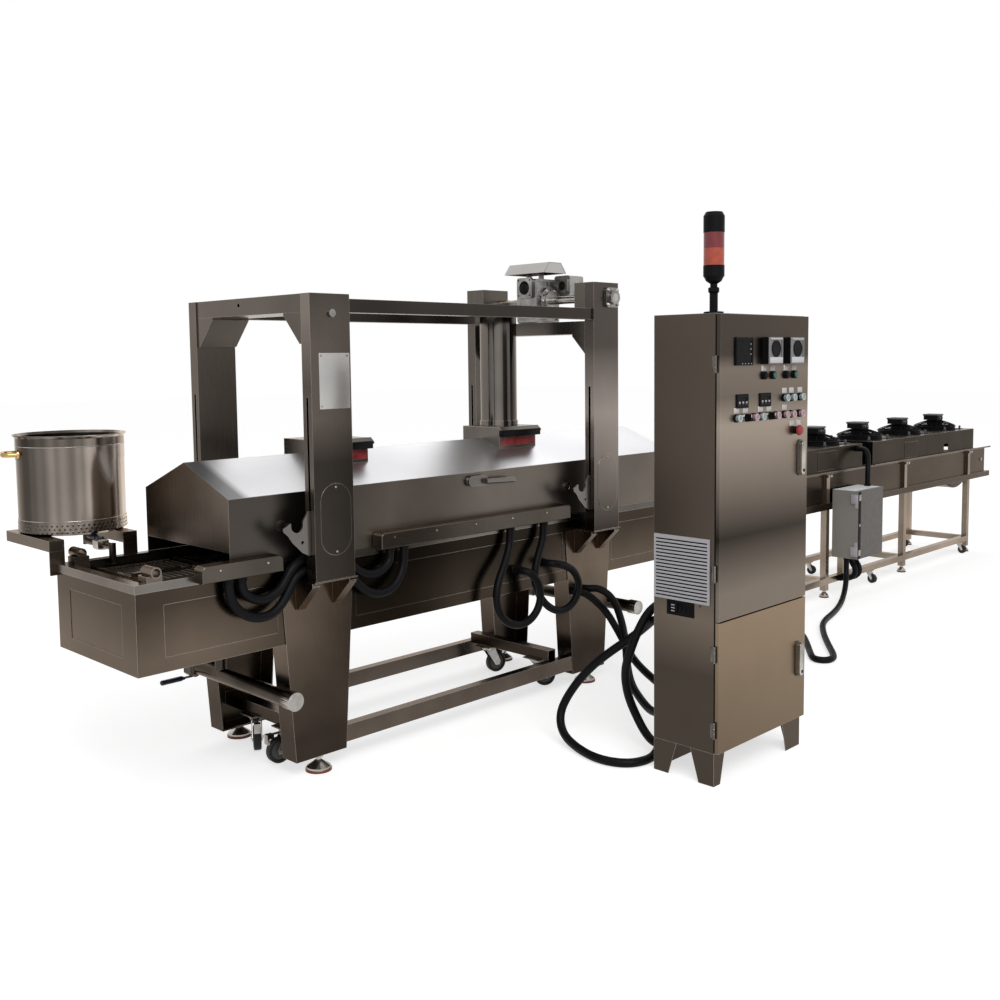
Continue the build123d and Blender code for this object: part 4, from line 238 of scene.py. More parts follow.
# Painted reflections and shade: broad light and dark zones on the sheets, given as a direction, then places
# along it with a factor
TANK_BANDS = [(ALONG, [(-636, 0.65), (-630, 1.0), (-450, 1.0), (100, 0.45), (1300, 0.35), (1800, 0.9)]),
              (UP, [(560, 1.0), (740, 0.4)])]
HOOD_BANDS = [(ALONG, [(150, 0.3), (450, 1.0), (800, 0.7), (1500, 0.6)])]
ROOF_BANDS = [(ALONG, [(-222, 0.3), (-185, 1.0), (150, 0.7), (950, 1.0), (1500, 0.75)])]
LEFT_BANDS = [(UP, [(1180, 0.3), (1330, 0.9), (1600, 0.9), (1785, 0.5)])]
RIGHT_BANDS = [(UP, [(751, 0.1), (1290, 1.0), (1600, 0.25)])]
BARE_BANDS = [(UP, [(1150, 1.0), (1450, 0.4), (1700, 1.0)])]
LEG_BANDS = [(UP, [(150, 0.3), (560, 1.0)])]
FOOT_BANDS = [(UP, [(100, 0.6), (600, 1.0)])]
DOOR_BANDS = [(UP, [(700, 0.45), (900, 0.05), (1300, 0.9), (1400, 0.4), (1500, 0.5), (1550, 0.15)])]
SIDE_BANDS = [(UP, [(400, 0.4), (600, 1.0), (760, 0.6)])]
# Painted reflection stripes across the pot, and a darker band between Z 1239 and 1266
POT_MIDDLE = -703.1
POT_STOPS = [(-196, 0.1), (-90, 0.1), (10, 0.4), (110, 0.3), (145, 1.0), (196, 1.0)]
POT_BANDS = [(ACROSS, [(POT_MIDDLE + at, value) for at, value in POT_STOPS]),
             (UP, [(1233, 1.0), (1239, 0.6), (1266, 0.6), (1272, 1.0)])]
# The bands given to these steels are painted reflections and shade
steel("tank", (0.139, 0.107, 0.080), 0.24, ALONG_X, streak=LYING, bands=TANK_BANDS)
steel("rim", (0.158, 0.145, 0.131), 0.24, ALONG_X, 0.2, 2.4, streak=LYING)
steel("bath", (0.05, 0.046, 0.042), 0.30, ALONG_X, 0.2, 3.0)
steel("frame", (0.144, 0.110, 0.084), 0.26, ALONG_Z, 0.18, 2.2, streak=UPRIGHT, bands=LEG_BANDS)
steel("rail", (0.126, 0.102, 0.083), 0.26, ALONG_X, 0.2, 2.4, streak=LYING)
steel("gantry", (0.128, 0.111, 0.097), 0.26, ALONG_Z, 0.15, 1.4, streak=UPRIGHT)
# Lighter and darker copies of one column steel, with bands: painted reflections and shade
steel("column_left", (0.167, 0.141, 0.120), 0.26, ALONG_Z, 0.12, 1.4, streak=UPRIGHT, bands=LEFT_BANDS)
steel("column_right", (0.359, 0.310, 0.276), 0.26, ALONG_Z, 0.1, 1.4, streak=UPRIGHT, bands=RIGHT_BANDS)
steel("column_side", (0.230, 0.196, 0.172), 0.26, ALONG_Z, 0.12, 1.4, streak=UPRIGHT, bands=BARE_BANDS)
steel("heater_cover", (0.096, 0.082, 0.070), 0.28, ALONG_X, 0.15, 2.4, streak=LYING)
steel("cover", (0.17, 0.158, 0.148), 0.30, ALONG_Z, 0.08, 3.0)
steel("beam", (0.050, 0.043, 0.038), 0.26, ALONG_X, 0.15, 1.4, streak=LYING)
steel("hood", (0.264, 0.229, 0.198), 0.32, ALONG_X, 0.12, 1.9, streak=((2, 1, 1.0), 0.14), bands=HOOD_BANDS)
steel("gable", (0.143, 0.117, 0.097), 0.28, ALONG_Z, 0.2, 3.0, streak=((1, 3, 1.0), 0.2))
# A lighter copy of the hood steel for the roof: painted sheen from overhead light
steel("roof_sheen", (0.640, 0.636, 0.642), 0.34, ALONG_X, 0.05, 1.9, bands=ROOF_BANDS, rim=(0.90, 0.90, 0.92))
steel("vent_box", (0.16, 0.142, 0.126), 0.24, ALONG_Z, 0.15, 4.0, streak=((4, 4, 2), 0.25))
steel("stack", (0.189, 0.170, 0.153), 0.10, (40, 40, 3), 0.1, 3.0, 0.01, ((26, 26, 0.2), 0.86))
steel("door", (0.400, 0.335, 0.278), 0.30, ALONG_X, 0.06, 1.2, bands=DOOR_BANDS)
steel("low_door", (0.289, 0.215, 0.144), 0.30, ALONG_X, 0.08, 1.4, streak=LYING, bands=FOOT_BANDS)
steel("cabinet", (0.165, 0.133, 0.105), 0.30, ALONG_Y, 0.08, 1.2, bands=SIDE_BANDS)
# A lighter copy of the cabinet steel, so that its reflection in the hood reads lighter: painted light
steel("cabinet_back", (0.45, 0.41, 0.37), 0.40, ALONG_X, 0.08, 1.2, streak=LYING)
steel("pot", (0.850, 0.730, 0.630), 0.18, (40, 40, 4), 0.08, 3.0, 0.01, ((24, 24, 0.1), 0.6),
      POT_BANDS, None)
# Dark steel for discs that paint the shade inside the skirt's holes
steel("pot_dark", (0.07, 0.06, 0.052), 0.16, (60, 60, 8), 0.3, 12.0, 0.05)
steel("plated", (0.42, 0.40, 0.375), 0.20, (300, 300, 300), 0.2, 14.0, 0.05)
steel("plate", (0.46, 0.45, 0.435), 0.34, ALONG_X, 0.06, 3.0, 0.06)
steel("belt", (0.07, 0.063, 0.056), 0.42, (900, 40, 900), 0.25, 9.0, 0.3, edge=None)
steel("belt_rod", (0.24, 0.215, 0.19), 0.30, (900, 40, 900), 0.25, 9.0, 0.1, edge=None)
steel("casting", (0.30, 0.295, 0.285), 0.36, (220, 220, 220), 0.26, 16.0, 0.2, edge=0.004)
steel("element", (0.10, 0.085, 0.075), 0.35, (500, 500, 500), 0.25, 12.0, 0.1, edge=None)
steel("brass", (0.55, 0.38, 0.15), 0.22, (400, 400, 400), 0.2, 20.0, 0.06)
steel("cooler", (0.043, 0.034, 0.027), 0.26, ALONG_X, 0.2, 2.4, streak=((1.2, 3, 4), 0.2))
steel("fan_sheet", (0.055, 0.045, 0.037), 0.26, ALONG_X, 0.2, 2.4, streak=((1.4, 3, 3), 0.2),
      rim=(0.62, 0.60, 0.58))
steel("post", (0.34, 0.275, 0.22), 0.26, ALONG_Z, 0.18, 3.0, streak=UPRIGHT)
steel("pipe", (0.053, 0.044, 0.036), 0.24, (300, 60, 300), 0.3, 5.0)
coat("conduit", (0.004, 0.004, 0.005), 0.45, 0.1, 0.3, 90.0)
coat("black", (0.006, 0.006, 0.0065), 0.45, 0.06, 0.25, 240.0)
coat("black_gloss", (0.006, 0.006, 0.007), 0.25, 0.06, 0.2, 120.0, 0.0001)
coat("fan_black", (0.005, 0.005, 0.006), 0.45, 0.05, 0.3, 180.0)
coat("fan_grey", (0.060, 0.063, 0.068), 0.42, 0.35, 0.2, 180.0)
coat("tyre", (0.016, 0.015, 0.015), 0.55, 0.25, 0.3, 260.0)
coat("hub", (0.08, 0.076, 0.072), 0.45, 0.4, 0.2, 200.0)
coat("rubber", (0.20, 0.055, 0.03), 0.55, 0.3, 0.2, 300.0)
coat("grey_paint", (0.245, 0.236, 0.212), 0.40, 0.4, 0.06, 320.0)
coat("dark_paint", (0.085, 0.072, 0.062), 0.38, 0.4, 0.06, 320.0)
coat("white_plastic", (0.42, 0.41, 0.43), 0.40, 0.4, 0.04, 260.0)
coat("label", (0.52, 0.50, 0.49), 0.5, 0.3, 0.05, 400.0, 0.0001)
coat("strip", (0.55, 0.54, 0.56), 0.5, 0.3, 0.05, 400.0, 0.0001)
# A near-white coat for the junction box's top face: a painted highlight
coat("lid", (0.90, 0.93, 0.96), 0.35, 0.5, 0.05, 320.0, 0.0001)
coat("meter_grey", (0.17, 0.165, 0.165), 0.35, 0.4, 0.08, 300.0, 0.0001)
coat("red_panel", (0.20, 0.020, 0.022), 0.16, 0.5, 0.35, 40.0)
coat("amber_lens", (0.36, 0.055, 0.028), 0.22, 0.5, 0.15, 60.0)
coat("red_lens", (0.16, 0.016, 0.019), 0.22, 0.5, 0.15, 60.0)
coat("red_button", (0.28, 0.024, 0.024), 0.30, 0.4, 0.08, 260.0)
coat("green_button", (0.008, 0.095, 0.075), 0.30, 0.4, 0.1, 260.0)
coat("pale_lens", (0.24, 0.28, 0.285), 0.22, 0.5, 0.08, 220.0)
coat("pink_lens", (0.30, 0.20, 0.215), 0.22, 0.5, 0.08, 220.0)
coat("pale_rim", (0.50, 0.58, 0.59), 0.30, 0.4, 0.05, 220.0)
coat("pink_rim", (0.58, 0.40, 0.43), 0.30, 0.4, 0.05, 220.0)
coat("blue_sleeve", (0.010, 0.012, 0.028), 0.36, 0.4, 0.2, 220.0)


def dress(node, name):
    """The main material of a node."""
    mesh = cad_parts[node].data
    mesh.materials.clear()
    mesh.materials.append(MATERIALS[name])
    for face in mesh.polygons:
        face.material_index = 0


def paint(node, name, test):
    """A further material on the faces of a node whose middle and normal pass a test."""
    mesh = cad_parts[node].data
    mesh.materials.append(MATERIALS[name])
    index = len(mesh.materials) - 1
    for face in mesh.polygons:
        middle = drawn(face.center)
        if test(middle.x, middle.y, middle.z, face.normal):
            face.material_index = index


MAIN = {
    "tank": ["oil_tank"],
    "rail": ["conveyor_frame", "pot_bracket"],
    "frame": ["fryer_frame"],
    "gantry": ["gantry_frame"],
    "hood": ["hood_shell"],
    "heater_cover": ["heater_banks"],
    "vent_box": ["exhaust_boxes"],
    "cooler": ["cooler_trough"],
    "fan_sheet": ["fan_boxes"],
    "post": ["cooler_frame"],
    "cabinet": ["cabinet_body"],
    "door": ["upper_door"],
    "low_door": ["lower_door"],
    "pot": ["oil_pot"],
    "pipe": ["oil_pipework"],
    "plated": ["levelling_feet", "lift_shaft", "lift_rods_front", "lift_rods_back", "upper_handle",
               "lower_handle", "fryer_drive_shaft", "cooler_drive_roller"],
    "cover": ["lift_hooks", "hood_lever"],
    "belt": ["fryer_belt", "cooler_belt"],
    "casting": ["lift_drive"],
    "black": ["control_gear", "panel_instruments", "stop_button_1", "stop_button_2", "selector_left",
              "selector_right", "signal_tower"],
    "fan_black": ["fan_units"],
    "grey_paint": ["junction_box", "junction_door"],
    "white_plastic": ["vent_grille"],
    "red_button": ["e_stop"],
    "green_button": ["start_button_1", "start_button_2"],
    "blue_sleeve": ["pot_valve_lever", "drain_valve_lever"],
    "conduit": ["heater_conduits", "floor_conduits", "junction_conduits"],
}
for material, names in MAIN.items():
    for node in names:
        dress(node, material)
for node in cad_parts:
    if node.startswith("castor_fork") or node.startswith("cooler_castor"):
        dress(node, "plated")
    if node.startswith("castor_wheel"):
        dress(node, "tyre")

# Places on the drawing that the finishes and the smaller pieces share
FRONT = -414
COLUMN_MIDDLES = (88, 1647)
RIM_TOP = 822
POT_AT = (-458, 536)
POT_TOP, POT_RADIUS = 1278, 196
CABINET_LEFT, CABINET_BACK, CABINET_TOP = 958, -1199, 1696
DOOR_FACE = -1484.3
FAN_X = (3097.5, 3727.5, 4357.5, 4977.5, 5607.5, 6237.5)
FAN_BOX_TOP, FAN_TERMINAL = 955, 62
JUNCTION_X, JUNCTION_Z = (4127, 4467), (258, 692)
JUNCTION_FACE = -424.3
LAMPS = {"pale": [(1384, 1388), (1435, 1388), (1498, 1388), (1057, 1325), (1216, 1325)],
         "pink": [(1169, 1325), (1321, 1325), (1385, 1325), (1433, 1325), (1496, 1325)]}
BUTTONS = [(1238, 1474), (1299, 1474), (1393, 1474), (1452, 1474)]
SELECTORS = {"selector_left": (1115, 1325), "selector_right": (1275, 1325)}
DEEP_METERS = [(1276, 1564), (1430, 1564)]
SMALL_CASTORS = {"cooler_castor_1": (4690, -228, 262), "cooler_castor_2": (4690, 228, 280),
                 "cooler_castor_3": (6200, -228, 270), "cooler_castor_4": (6200, 228, 250)}
CASTORS = {"front_left": (65, -110, 175), "back_left": (65, 110, 240), "front_right": (1430, -160, 325),
           "back_right": (1430, 160, 345)}
CASTOR_TRAIL, CASTOR_AXLE, CASTOR_HUB = 40, 51.5, 36
SMALL_TRAIL, SMALL_AXLE, SMALL_HUB, SMALL_HALF = 26, 31.5, 18, 11.2


def from_pot(x, y):
    """The distance from the pot's axis."""
    return ((x - POT_AT[0]) ** 2 + (y - POT_AT[1]) ** 2) ** 0.5


def wheel_middle(x, y, heading, trail, height):
    """The middle of a castor's wheel, which trails behind the swivel."""
    return Vector((x + trail * cos(radians(heading)), y + trail * sin(radians(heading)), height))


# Finishes of single faces
paint("oil_tank", "rim", lambda x, y, z, n: z > RIM_TOP - 31 and n.z > -0.5)
paint("oil_tank", "bath", lambda x, y, z, n: abs(y) < 263 and -599 < x < 2627 and z < RIM_TOP - 1)
paint("fryer_frame", "rail", lambda x, y, z, n: 260 < x < 1500 and z < 150)
paint("fryer_frame", "black", lambda x, y, z, n: x > 1500 and -316 < y < -301.5 and 440 < z < 492)
# The column faces get the lit and shaded copies of the column steel: painted reflections and shade
paint("gantry_frame", "column_left", lambda x, y, z, n: x < 177 and y < -355 and n.y < -0.5)
paint("gantry_frame", "column_side", lambda x, y, z, n: x < 1 and y < -355 and n.x < -0.5)
paint("gantry_frame", "column_right", lambda x, y, z, n: x > 1558 and y < -355)
paint("gantry_frame", "beam", lambda x, y, z, n: 180 < x < 1550)
paint("gantry_frame", "plated", lambda x, y, z, n: abs(y) > 414.5 and abs(n.y) < 0.5)
# Painted sheen: the upward faces of the hood get the lighter roof steel
paint("hood_shell", "roof_sheen", lambda x, y, z, n: n.z > 0.5 and z > 1070)
paint("hood_shell", "gable", lambda x, y, z, n: abs(n.x) > 0.9)
paint("hood_shell", "plated", lambda x, y, z, n: y < -295.5 or y > 295.5)
paint("exhaust_boxes", "stack", lambda x, y, z, n: z > 1236)
paint("exhaust_boxes", "red_panel", lambda x, y, z, n: -123 < y < -120.5 and z < 1208.5 and abs(n.z) < 0.9)
paint("exhaust_boxes", "rim", lambda x, y, z, n: y < -120.5 and z > 1207.5)
paint("heater_banks", "rail", lambda x, y, z, n: y < -299 and z > 799 and n.z > 0.3)
paint("heater_banks", "element", lambda x, y, z, n: y > -299)
paint("heater_banks", "black", lambda x, y, z, n: y < -305 and (z < 798.5 or (x > 350 and z < 814.5)))
paint("oil_pot", "brass",
      lambda x, y, z, n: from_pot(x, y) > 207 or (from_pot(x, y) > 198.2 and z < POT_TOP - 13))
paint("oil_pipework", "plated", lambda x, y, z, n: y < -384 or (z > 700 and abs(y - 326) < 30))
# Painted light: the back and right faces of the cabinet get the lighter copy of its steel
paint("cabinet_body", "cabinet_back", lambda x, y, z, n: n.y > 0.5 or n.x > 0.5)
paint("cabinet_body", "black", lambda x, y, z, n: y > CABINET_BACK + 0.5)
paint("control_gear", "plate", lambda x, y, z, n: y > CABINET_BACK - 6)
paint("upper_door", "dark_paint", lambda x, y, z, n: y < DOOR_FACE - 0.5)
paint("lower_door", "dark_paint", lambda x, y, z, n: y < DOOR_FACE - 0.5)
# Black on the window below the louvres; the louvres' upper and lower faces black as painted shade in the
# gaps between them
paint("vent_grille", "black_gloss", lambda x, y, z, n: z < 660 or (abs(n.z) > 0.3 and 668 < z < 891))
paint("signal_tower", "black_gloss", lambda x, y, z, n: z < CABINET_TOP + 137)
paint("signal_tower", "amber_lens", lambda x, y, z, n: CABINET_TOP + 176.5 < z < CABINET_TOP + 236.5)
paint("signal_tower", "red_lens", lambda x, y, z, n: CABINET_TOP + 237.5 < z < CABINET_TOP + 292.5)
paint("levelling_feet", "rubber", lambda x, y, z, n: z < 8.4)
paint("lift_drive", "vent_box", lambda x, y, z, n: z > 1945)
# A painted highlight: the upward faces of the drive cover get the lighter plate steel
paint("lift_drive", "plate", lambda x, y, z, n: z > 1945 and n.z > 0.3)
paint("cooler_trough", "post",
      lambda x, y, z, n: (607 < z < 789 and abs(y) > 231) or (z < 609 and n.z > 0.5))
paint("cooler_trough", "rail", lambda x, y, z, n: z > 789.5)
paint("cooler_frame", "black", lambda x, y, z, n: y < -248.5 and 80 < z < 130 and 4200 < x < 4320)
paint("fan_boxes", "black", lambda x, y, z, n: y < -216.5 and 900 < z and 4490 < x < 4550)
paint("fan_boxes", "rail", lambda x, y, z, n: z > FAN_BOX_TOP - 0.5 or z < 803)
paint("fan_units", "fan_grey",
      lambda x, y, z, n: z > FAN_BOX_TOP + 31 and abs(y) < 35
      and min(abs(x - FAN_TERMINAL - at) for at in FAN_X) < 35.5)
paint("junction_box", "black", lambda x, y, z, n: z < JUNCTION_Z[0] - 0.5 or z > JUNCTION_Z[1] + 0.5)
# Painted highlight: the junction box's top face gets the near-white coat
paint("junction_box", "lid", lambda x, y, z, n: n.z > 0.5 and abs(z - JUNCTION_Z[1]) < 0.5)
paint("junction_door", "dark_paint", lambda x, y, z, n: n.y < -0.5)
paint("junction_door", "white_plastic", lambda x, y, z, n: x < JUNCTION_X[0] - 0.5)
for tint, places in LAMPS.items():
    paint("panel_instruments", tint + "_lens",
          lambda x, y, z, n: y < DOOR_FACE - 5.2
          and min((x - a) ** 2 + (z - b) ** 2 for a, b in places) < 150)
paint("panel_instruments", "meter_grey",
      lambda x, y, z, n: y < DOOR_FACE - 26 and n.y < -0.5
      and min(abs(x - a) + abs(z - b) for a, b in DEEP_METERS) < 120)
for name, (x0, y0, heading) in CASTORS.items():
    at = wheel_middle(x0, y0, heading, CASTOR_TRAIL, CASTOR_AXLE)
    paint("castor_wheel_" + name, "hub", lambda x, y, z, n: (Vector((x, y, z)) - at).length < CASTOR_HUB)
for name, (x0, y0, heading) in SMALL_CASTORS.items():
    at = wheel_middle(x0, y0, heading, SMALL_TRAIL, SMALL_AXLE)
    axle = Vector((-sin(radians(heading)), cos(radians(heading)), 0))
    paint(name, "tyre", lambda x, y, z, n: (Vector((x, y, z)) - at).length > SMALL_HUB and z < 62.5
          and abs((Vector((x, y, z)) - at).dot(axle)) < SMALL_HALF)
    paint(name, "hub", lambda x, y, z, n: 5 < (Vector((x, y, z)) - at).length <= SMALL_HUB
          and abs((Vector((x, y, z)) - at).dot(axle)) < SMALL_HALF)

# Conduits, each along the points of its route
CONDUIT_RADIUS = 17
RAIL_DROP = [(-330, 244), (-330, 216), (-356, 186), (-357, 140), (-314, 105), (-262, 105)]
ROUTES = {
    "jumper_upper": [
        (-255, -328, 785), (-255, -328, 755), (-232, -335, 722), (-175, -339, 702), (-118, -338, 722),
        (-88, -335, 745), (-50, -333, 800), (10, -331, 832), (80, -331, 838), (150, -331, 828),
        (205, -332, 790), (250, -335, 745), (305, -337, 722), (362, -335, 728), (404, -332, 758),
        (412, -330, 778), (412, -330, 801)],
    "jumper_lower": [
        (-305, -328, 785), (-305, -328, 745), (-288, -337, 695), (-232, -343, 650), (-152, -343, 643),
        (-95, -340, 680), (-62, -337, 730), (-28, -334, 775), (45, -331, 792), (120, -331, 790),
        (188, -333, 772), (232, -337, 712), (285, -341, 660), (355, -342, 640), (425, -340, 660),
        (470, -334, 715), (484, -330, 762), (484, -330, 801)],
    "loop_left": [
        (1090, -328, 801), (1090, -328, 742), (1040, -344, 665), (978, -356, 585), (960, -366, 490),
        (1008, -374, 415), (1090, -382, 385), (1170, -386, 408), (1220, -386, 470), (1215, -385, 550),
        (1180, -372, 602), (1155, -350, 615), (1155, -311, 615)],
    "loop_right": [
        (1305, -328, 801), (1305, -328, 742), (1250, -344, 670), (1212, -352, 585), (1228, -362, 500),
        (1290, -372, 428), (1375, -380, 398), (1455, -382, 432), (1492, -380, 505), (1460, -378, 572),
        (1402, -376, 606), (1347, -370, 622), (1320, -349, 625), (1320, -311, 625)],
    "leg_upper": [
        (1572, -315, 470), (1572, -352, 470), (1620, -395, 472), (1648, -455, 425), (1600, -540, 340),
        (1520, -625, 268), (1432, -700, 206), (1357, -780, 150), (1278, -900, 118), (1205, -1010, 112),
        (1165, -1105, 150), (1165, -1181, 150)],
    "leg_lower": [
        (1531, -315, 462), (1531, -349, 462), (1548, -372, 452), (1590, -388, 418), (1635, -420, 362),
        (1636, -485, 285), (1600, -570, 220), (1520, -680, 192), (1443, -830, 165), (1370, -960, 162),
        (1330, -1085, 200), (1330, -1181, 200)],
    "cabinet_drop": [
        (1112, -1181, 610), (1112, -1135, 610), (1058, -1100, 572), (1008, -1080, 490), (1003, -1050, 410),
        (1022, -1010, 325), (1062, -990, 223), (1098, -1005, 130), (1090, -1060, 68), (1070, -1120, 48),
        (1070, -1181, 48)],
    "cabinet_loop": [
        (1060, -1181, 545), (1060, -1125, 545), (1098, -1060, 500), (1105, -985, 440), (1069, -900, 372),
        (1040, -810, 290), (999, -745, 191), (960, -722, 105), (925, -770, 40), (885, -885, 18),
        (852, -1020, 17.5), (890, -1125, 17), (985, -1160, 17.5), (1080, -1125, 18), (1148, -1080, 20),
        (1205, -1068, 33), (1240, -1102, 42), (1240, -1142, 45), (1240, -1181, 45)],
    "box_to_cabinet": [
        (4165, -330, 244), (4165, -330, 180), (4125, -350, 100), (4035, -382, 42), (3880, -440, 17.5),
        (3655, -516, 18), (3400, -578, 17.5), (3195, -690, 17), (2979, -835, 17.5), (2820, -950, 18),
        (2745, -992, 17.5), (2680, -985, 17), (2662, -925, 17.5), (2745, -862, 18), (2905, -755, 17.5),
        (3080, -630, 17), (3150, -520, 17.5), (3080, -440, 18), (2900, -470, 17.5), (2610, -570, 17),
        (2280, -690, 17.5), (1960, -830, 18), (1680, -930, 22), (1530, -990, 45), (1480, -1090, 60),
        (1480, -1181, 60)],
    "box_to_rail_1": [(4232, y, z) for y, z in RAIL_DROP],
    "box_to_rail_2": [(4290, y, z) for y, z in RAIL_DROP],
    "box_to_fans": [
        (4440, -330, 706), (4440, -330, 765), (4452, -325, 820), (4478, -312, 868), (4505, -290, 910),
        (4520, -258, 925), (4520, -228, 925)],
}
HOLDERS = {"heater_conduits": ("jumper_upper", "jumper_lower", "loop_left", "loop_right"),
           "floor_conduits": ("leg_upper", "leg_lower", "cabinet_drop", "cabinet_loop"),
           "junction_conduits": ("box_to_cabinet", "box_to_rail_1", "box_to_rail_2", "box_to_fans")}


def make_conduit(name, node):
    data = bpy.data.curves.new(name, "CURVE")
    data.dimensions = "3D"
    data.bevel_depth = CONDUIT_RADIUS / 1000
    data.bevel_resolution = 6
    data.resolution_u = 16
    spline = data.splines.new("NURBS")
    route = ROUTES[name]
    spline.points.add(len(route) - 1)
    for point, at in zip(spline.points, route):
        point.co = (*place(*at), 1)
    spline.order_u = 3
    spline.use_endpoint_u = True
    data.materials.append(MATERIALS["conduit"])
    cord = bpy.data.objects.new(name, data)
    scene.collection.objects.link(cord)
    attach(cord, "frame")
    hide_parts(node)


for node, names in HOLDERS.items():
    for name in names:
        make_conduit(name, node)


# Building blocks for the smaller pieces
def add_box(bm, x, y, z, bevel=0.0):
    """A bevelled block between low and high along X, Y and Z."""
    low, high = place(x[0], y[0], z[0]), place(x[1], y[1], z[1])
    size = high - low
    matrix = Matrix.Translation((low + high) / 2) @ Matrix.Diagonal((*size, 1))
    block = bmesh.new()
    bmesh.ops.create_cube(block, size=1, matrix=matrix)
    if bevel:
        bmesh.ops.bevel(block, geom=block.edges[:], offset=bevel / 1000, segments=2, affect="EDGES",
                        profile=0.5)
    twins = {vertex: bm.verts.new(vertex.co) for vertex in block.verts}
    for face in block.faces:
        bm.faces.new([twins[vertex] for vertex in face.verts])
    block.free()


def frame_of(axis):
    """An axis of length one and two directions square to it."""
    axis = Vector(axis).normalized()
    first = axis.cross(Vector((0, 0, 1)) if abs(axis.z) < 0.9 else Vector((1, 0, 0))).normalized()
    return axis, first, axis.cross(first)


def circle(count, first=Vector((1, 0, 0)), second=Vector((0, 1, 0)), shift=0.0):
    """Rays around a circle, evenly spaced."""
    turns = [2 * pi * (step + shift) / count for step in range(count)]
    return [first * cos(turn) + second * sin(turn) for turn in turns]


def add_lathe(bm, profile, at, axis=(0, 0, 1), sides=20):
    """A profile of radius and height points turned about an axis; ends on the axis are closed."""
    axis, first, second = frame_of(axis)
    rings = []
    for radius, height in profile:
        middle = place(*at) + axis * height / 1000
        if radius == 0:
            rings.append([bm.verts.new(middle)])
            continue
        rings.append([bm.verts.new(middle + ray * radius / 1000) for ray in circle(sides, first, second)])
    for low, high in zip(rings, rings[1:]):
        for step in range(sides):
            after = (step + 1) % sides
            under = [low[turn % len(low)] for turn in (step, after)]
            over = [high[turn % len(high)] for turn in (after, step)]
            corners = list(dict.fromkeys(under + over))
            if len(corners) > 2:
                bm.faces.new(corners)


def add_tube(bm, points, radius, sides=8, closed=False):
    """A round bar along points."""
    path = [place(*point) for point in points]
    count = len(path)
    rings = []
    first = None
    for step, at in enumerate(path):
        before = path[step - 1] if step or closed else at
        after = path[(step + 1) % count] if step + 1 < count or closed else at
        run = (after - before).normalized()
        if first is None:
            first = frame_of(run)[1]
        first = (first - run * first.dot(run)).normalized()
        second = run.cross(first)
        rings.append([bm.verts.new(at + ray * radius / 1000) for ray in circle(sides, first, second)])
    pairs = list(zip(rings, rings[1:])) + ([(rings[-1], rings[0])] if closed else [])
    for low, high in pairs:
        for side in range(sides):
            after = (side + 1) % sides
            bm.faces.new((low[side], low[after], high[after], high[side]))
    if not closed:
        bm.faces.new(rings[0][::-1])
        bm.faces.new(rings[-1])


def ring_points(at, radius, count, axis=(0, 0, 1)):
    """Points of a circle on the drawing."""
    first, second = frame_of(axis)[1:]
    return [Vector(at) + ray * radius for ray in circle(count, first, second)]


def make_piece(name, bm, material, body):
    """The finished piece: outward faces, smooth where it is round, riding on its body."""
    bmesh.ops.recalc_face_normals(bm, faces=bm.faces)
    mesh = bpy.data.meshes.new(name)
    bm.to_mesh(mesh)
    bm.free()
    mesh.shade_smooth()
    mesh.set_sharp_from_angle(angle=radians(35))
    mesh.materials.append(MATERIALS[material])
    piece = bpy.data.objects.new(name, mesh)
    scene.collection.objects.link(piece)
    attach(piece, body)


def add_screw(bm, at, axis, radius, height=2.6):
    """A screw head with a round recess."""
    profile = [(radius, 0), (radius, height * 0.45), (radius * 0.8, height), (radius * 0.5, height),
               (radius * 0.5, height * 0.4), (0, height * 0.4)]
    add_lathe(bm, profile, at, axis, 12)


def add_bolt(bm, at, axis, radius):
    """A hexagon bolt head on a washer."""
    add_lathe(bm, [(radius * 1.35, 0), (radius * 1.35, 1.6), (radius * 0.5, 1.6)], at, axis, 16)
    add_lathe(bm, [(radius, 1.6), (radius, 6.2), (radius * 0.82, 7.4), (0, 7.4)], at, axis, 6)


# Instruments on the upper door
OUT = (0, -1, 0)
WINGS = (-1, 1)
LABEL_HALF = (17, 10)
LABELS = [(x, 1500) for x, z in BUTTONS] + [(x, 1415) for x in (1384, 1435, 1498)]
LABELS += [(x, 1352) for x in (1057, 1115, 1216, 1275, 1385)] + [(1440, 1290), (1490, 1290)]
FIRST_METER = (1102, 1562)
SMALL_METERS = [(1094, 1385), (1247, 1385)]
HANDLES = {"upper_handle": (1503, 1154), "lower_handle": (1507, 364)}
LAMP_FACE = DOOR_FACE - 13
METER_FACE, FIRST_FACE, SMALL_FACE = DOOR_FACE - 30, DOOR_FACE - 8, DOOR_FACE - 6


def front_of(node):
    """The foremost Y of a node, in drawing millimetres."""
    return min(drawn(vertex.co).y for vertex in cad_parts[node].data.vertices)


bm = bmesh.new()
wide, high = LABEL_HALF
for x, z in LABELS:
    add_box(bm, (x - wide, x + wide), (DOOR_FACE - 1.2, DOOR_FACE), (z - high, z + high), 0.4)
make_piece("blank_labels", bm, "label", "upper_door")

bm = bmesh.new()
for x, z in DEEP_METERS:
    add_box(bm, (x - 44, x + 44), (METER_FACE - 1.2, METER_FACE + 2), (z - 45, z - 24), 0.4)
    add_box(bm, (x - 38, x + 40), (METER_FACE - 0.6, METER_FACE), (z + 41, z + 45), 0.2)
make_piece("meter_strips", bm, "strip", "upper_door")

bm = bmesh.new()
for x, z in DEEP_METERS:
    profile = [(31, 0), (31, 2.4), (29, 3.4), (27.5, 3.4), (26.5, 2.2), (0, 2.2)]
    add_lathe(bm, profile, (x, METER_FACE + 2, z + 7), OUT, 40)
make_piece("meter_dials", bm, "black", "upper_door")

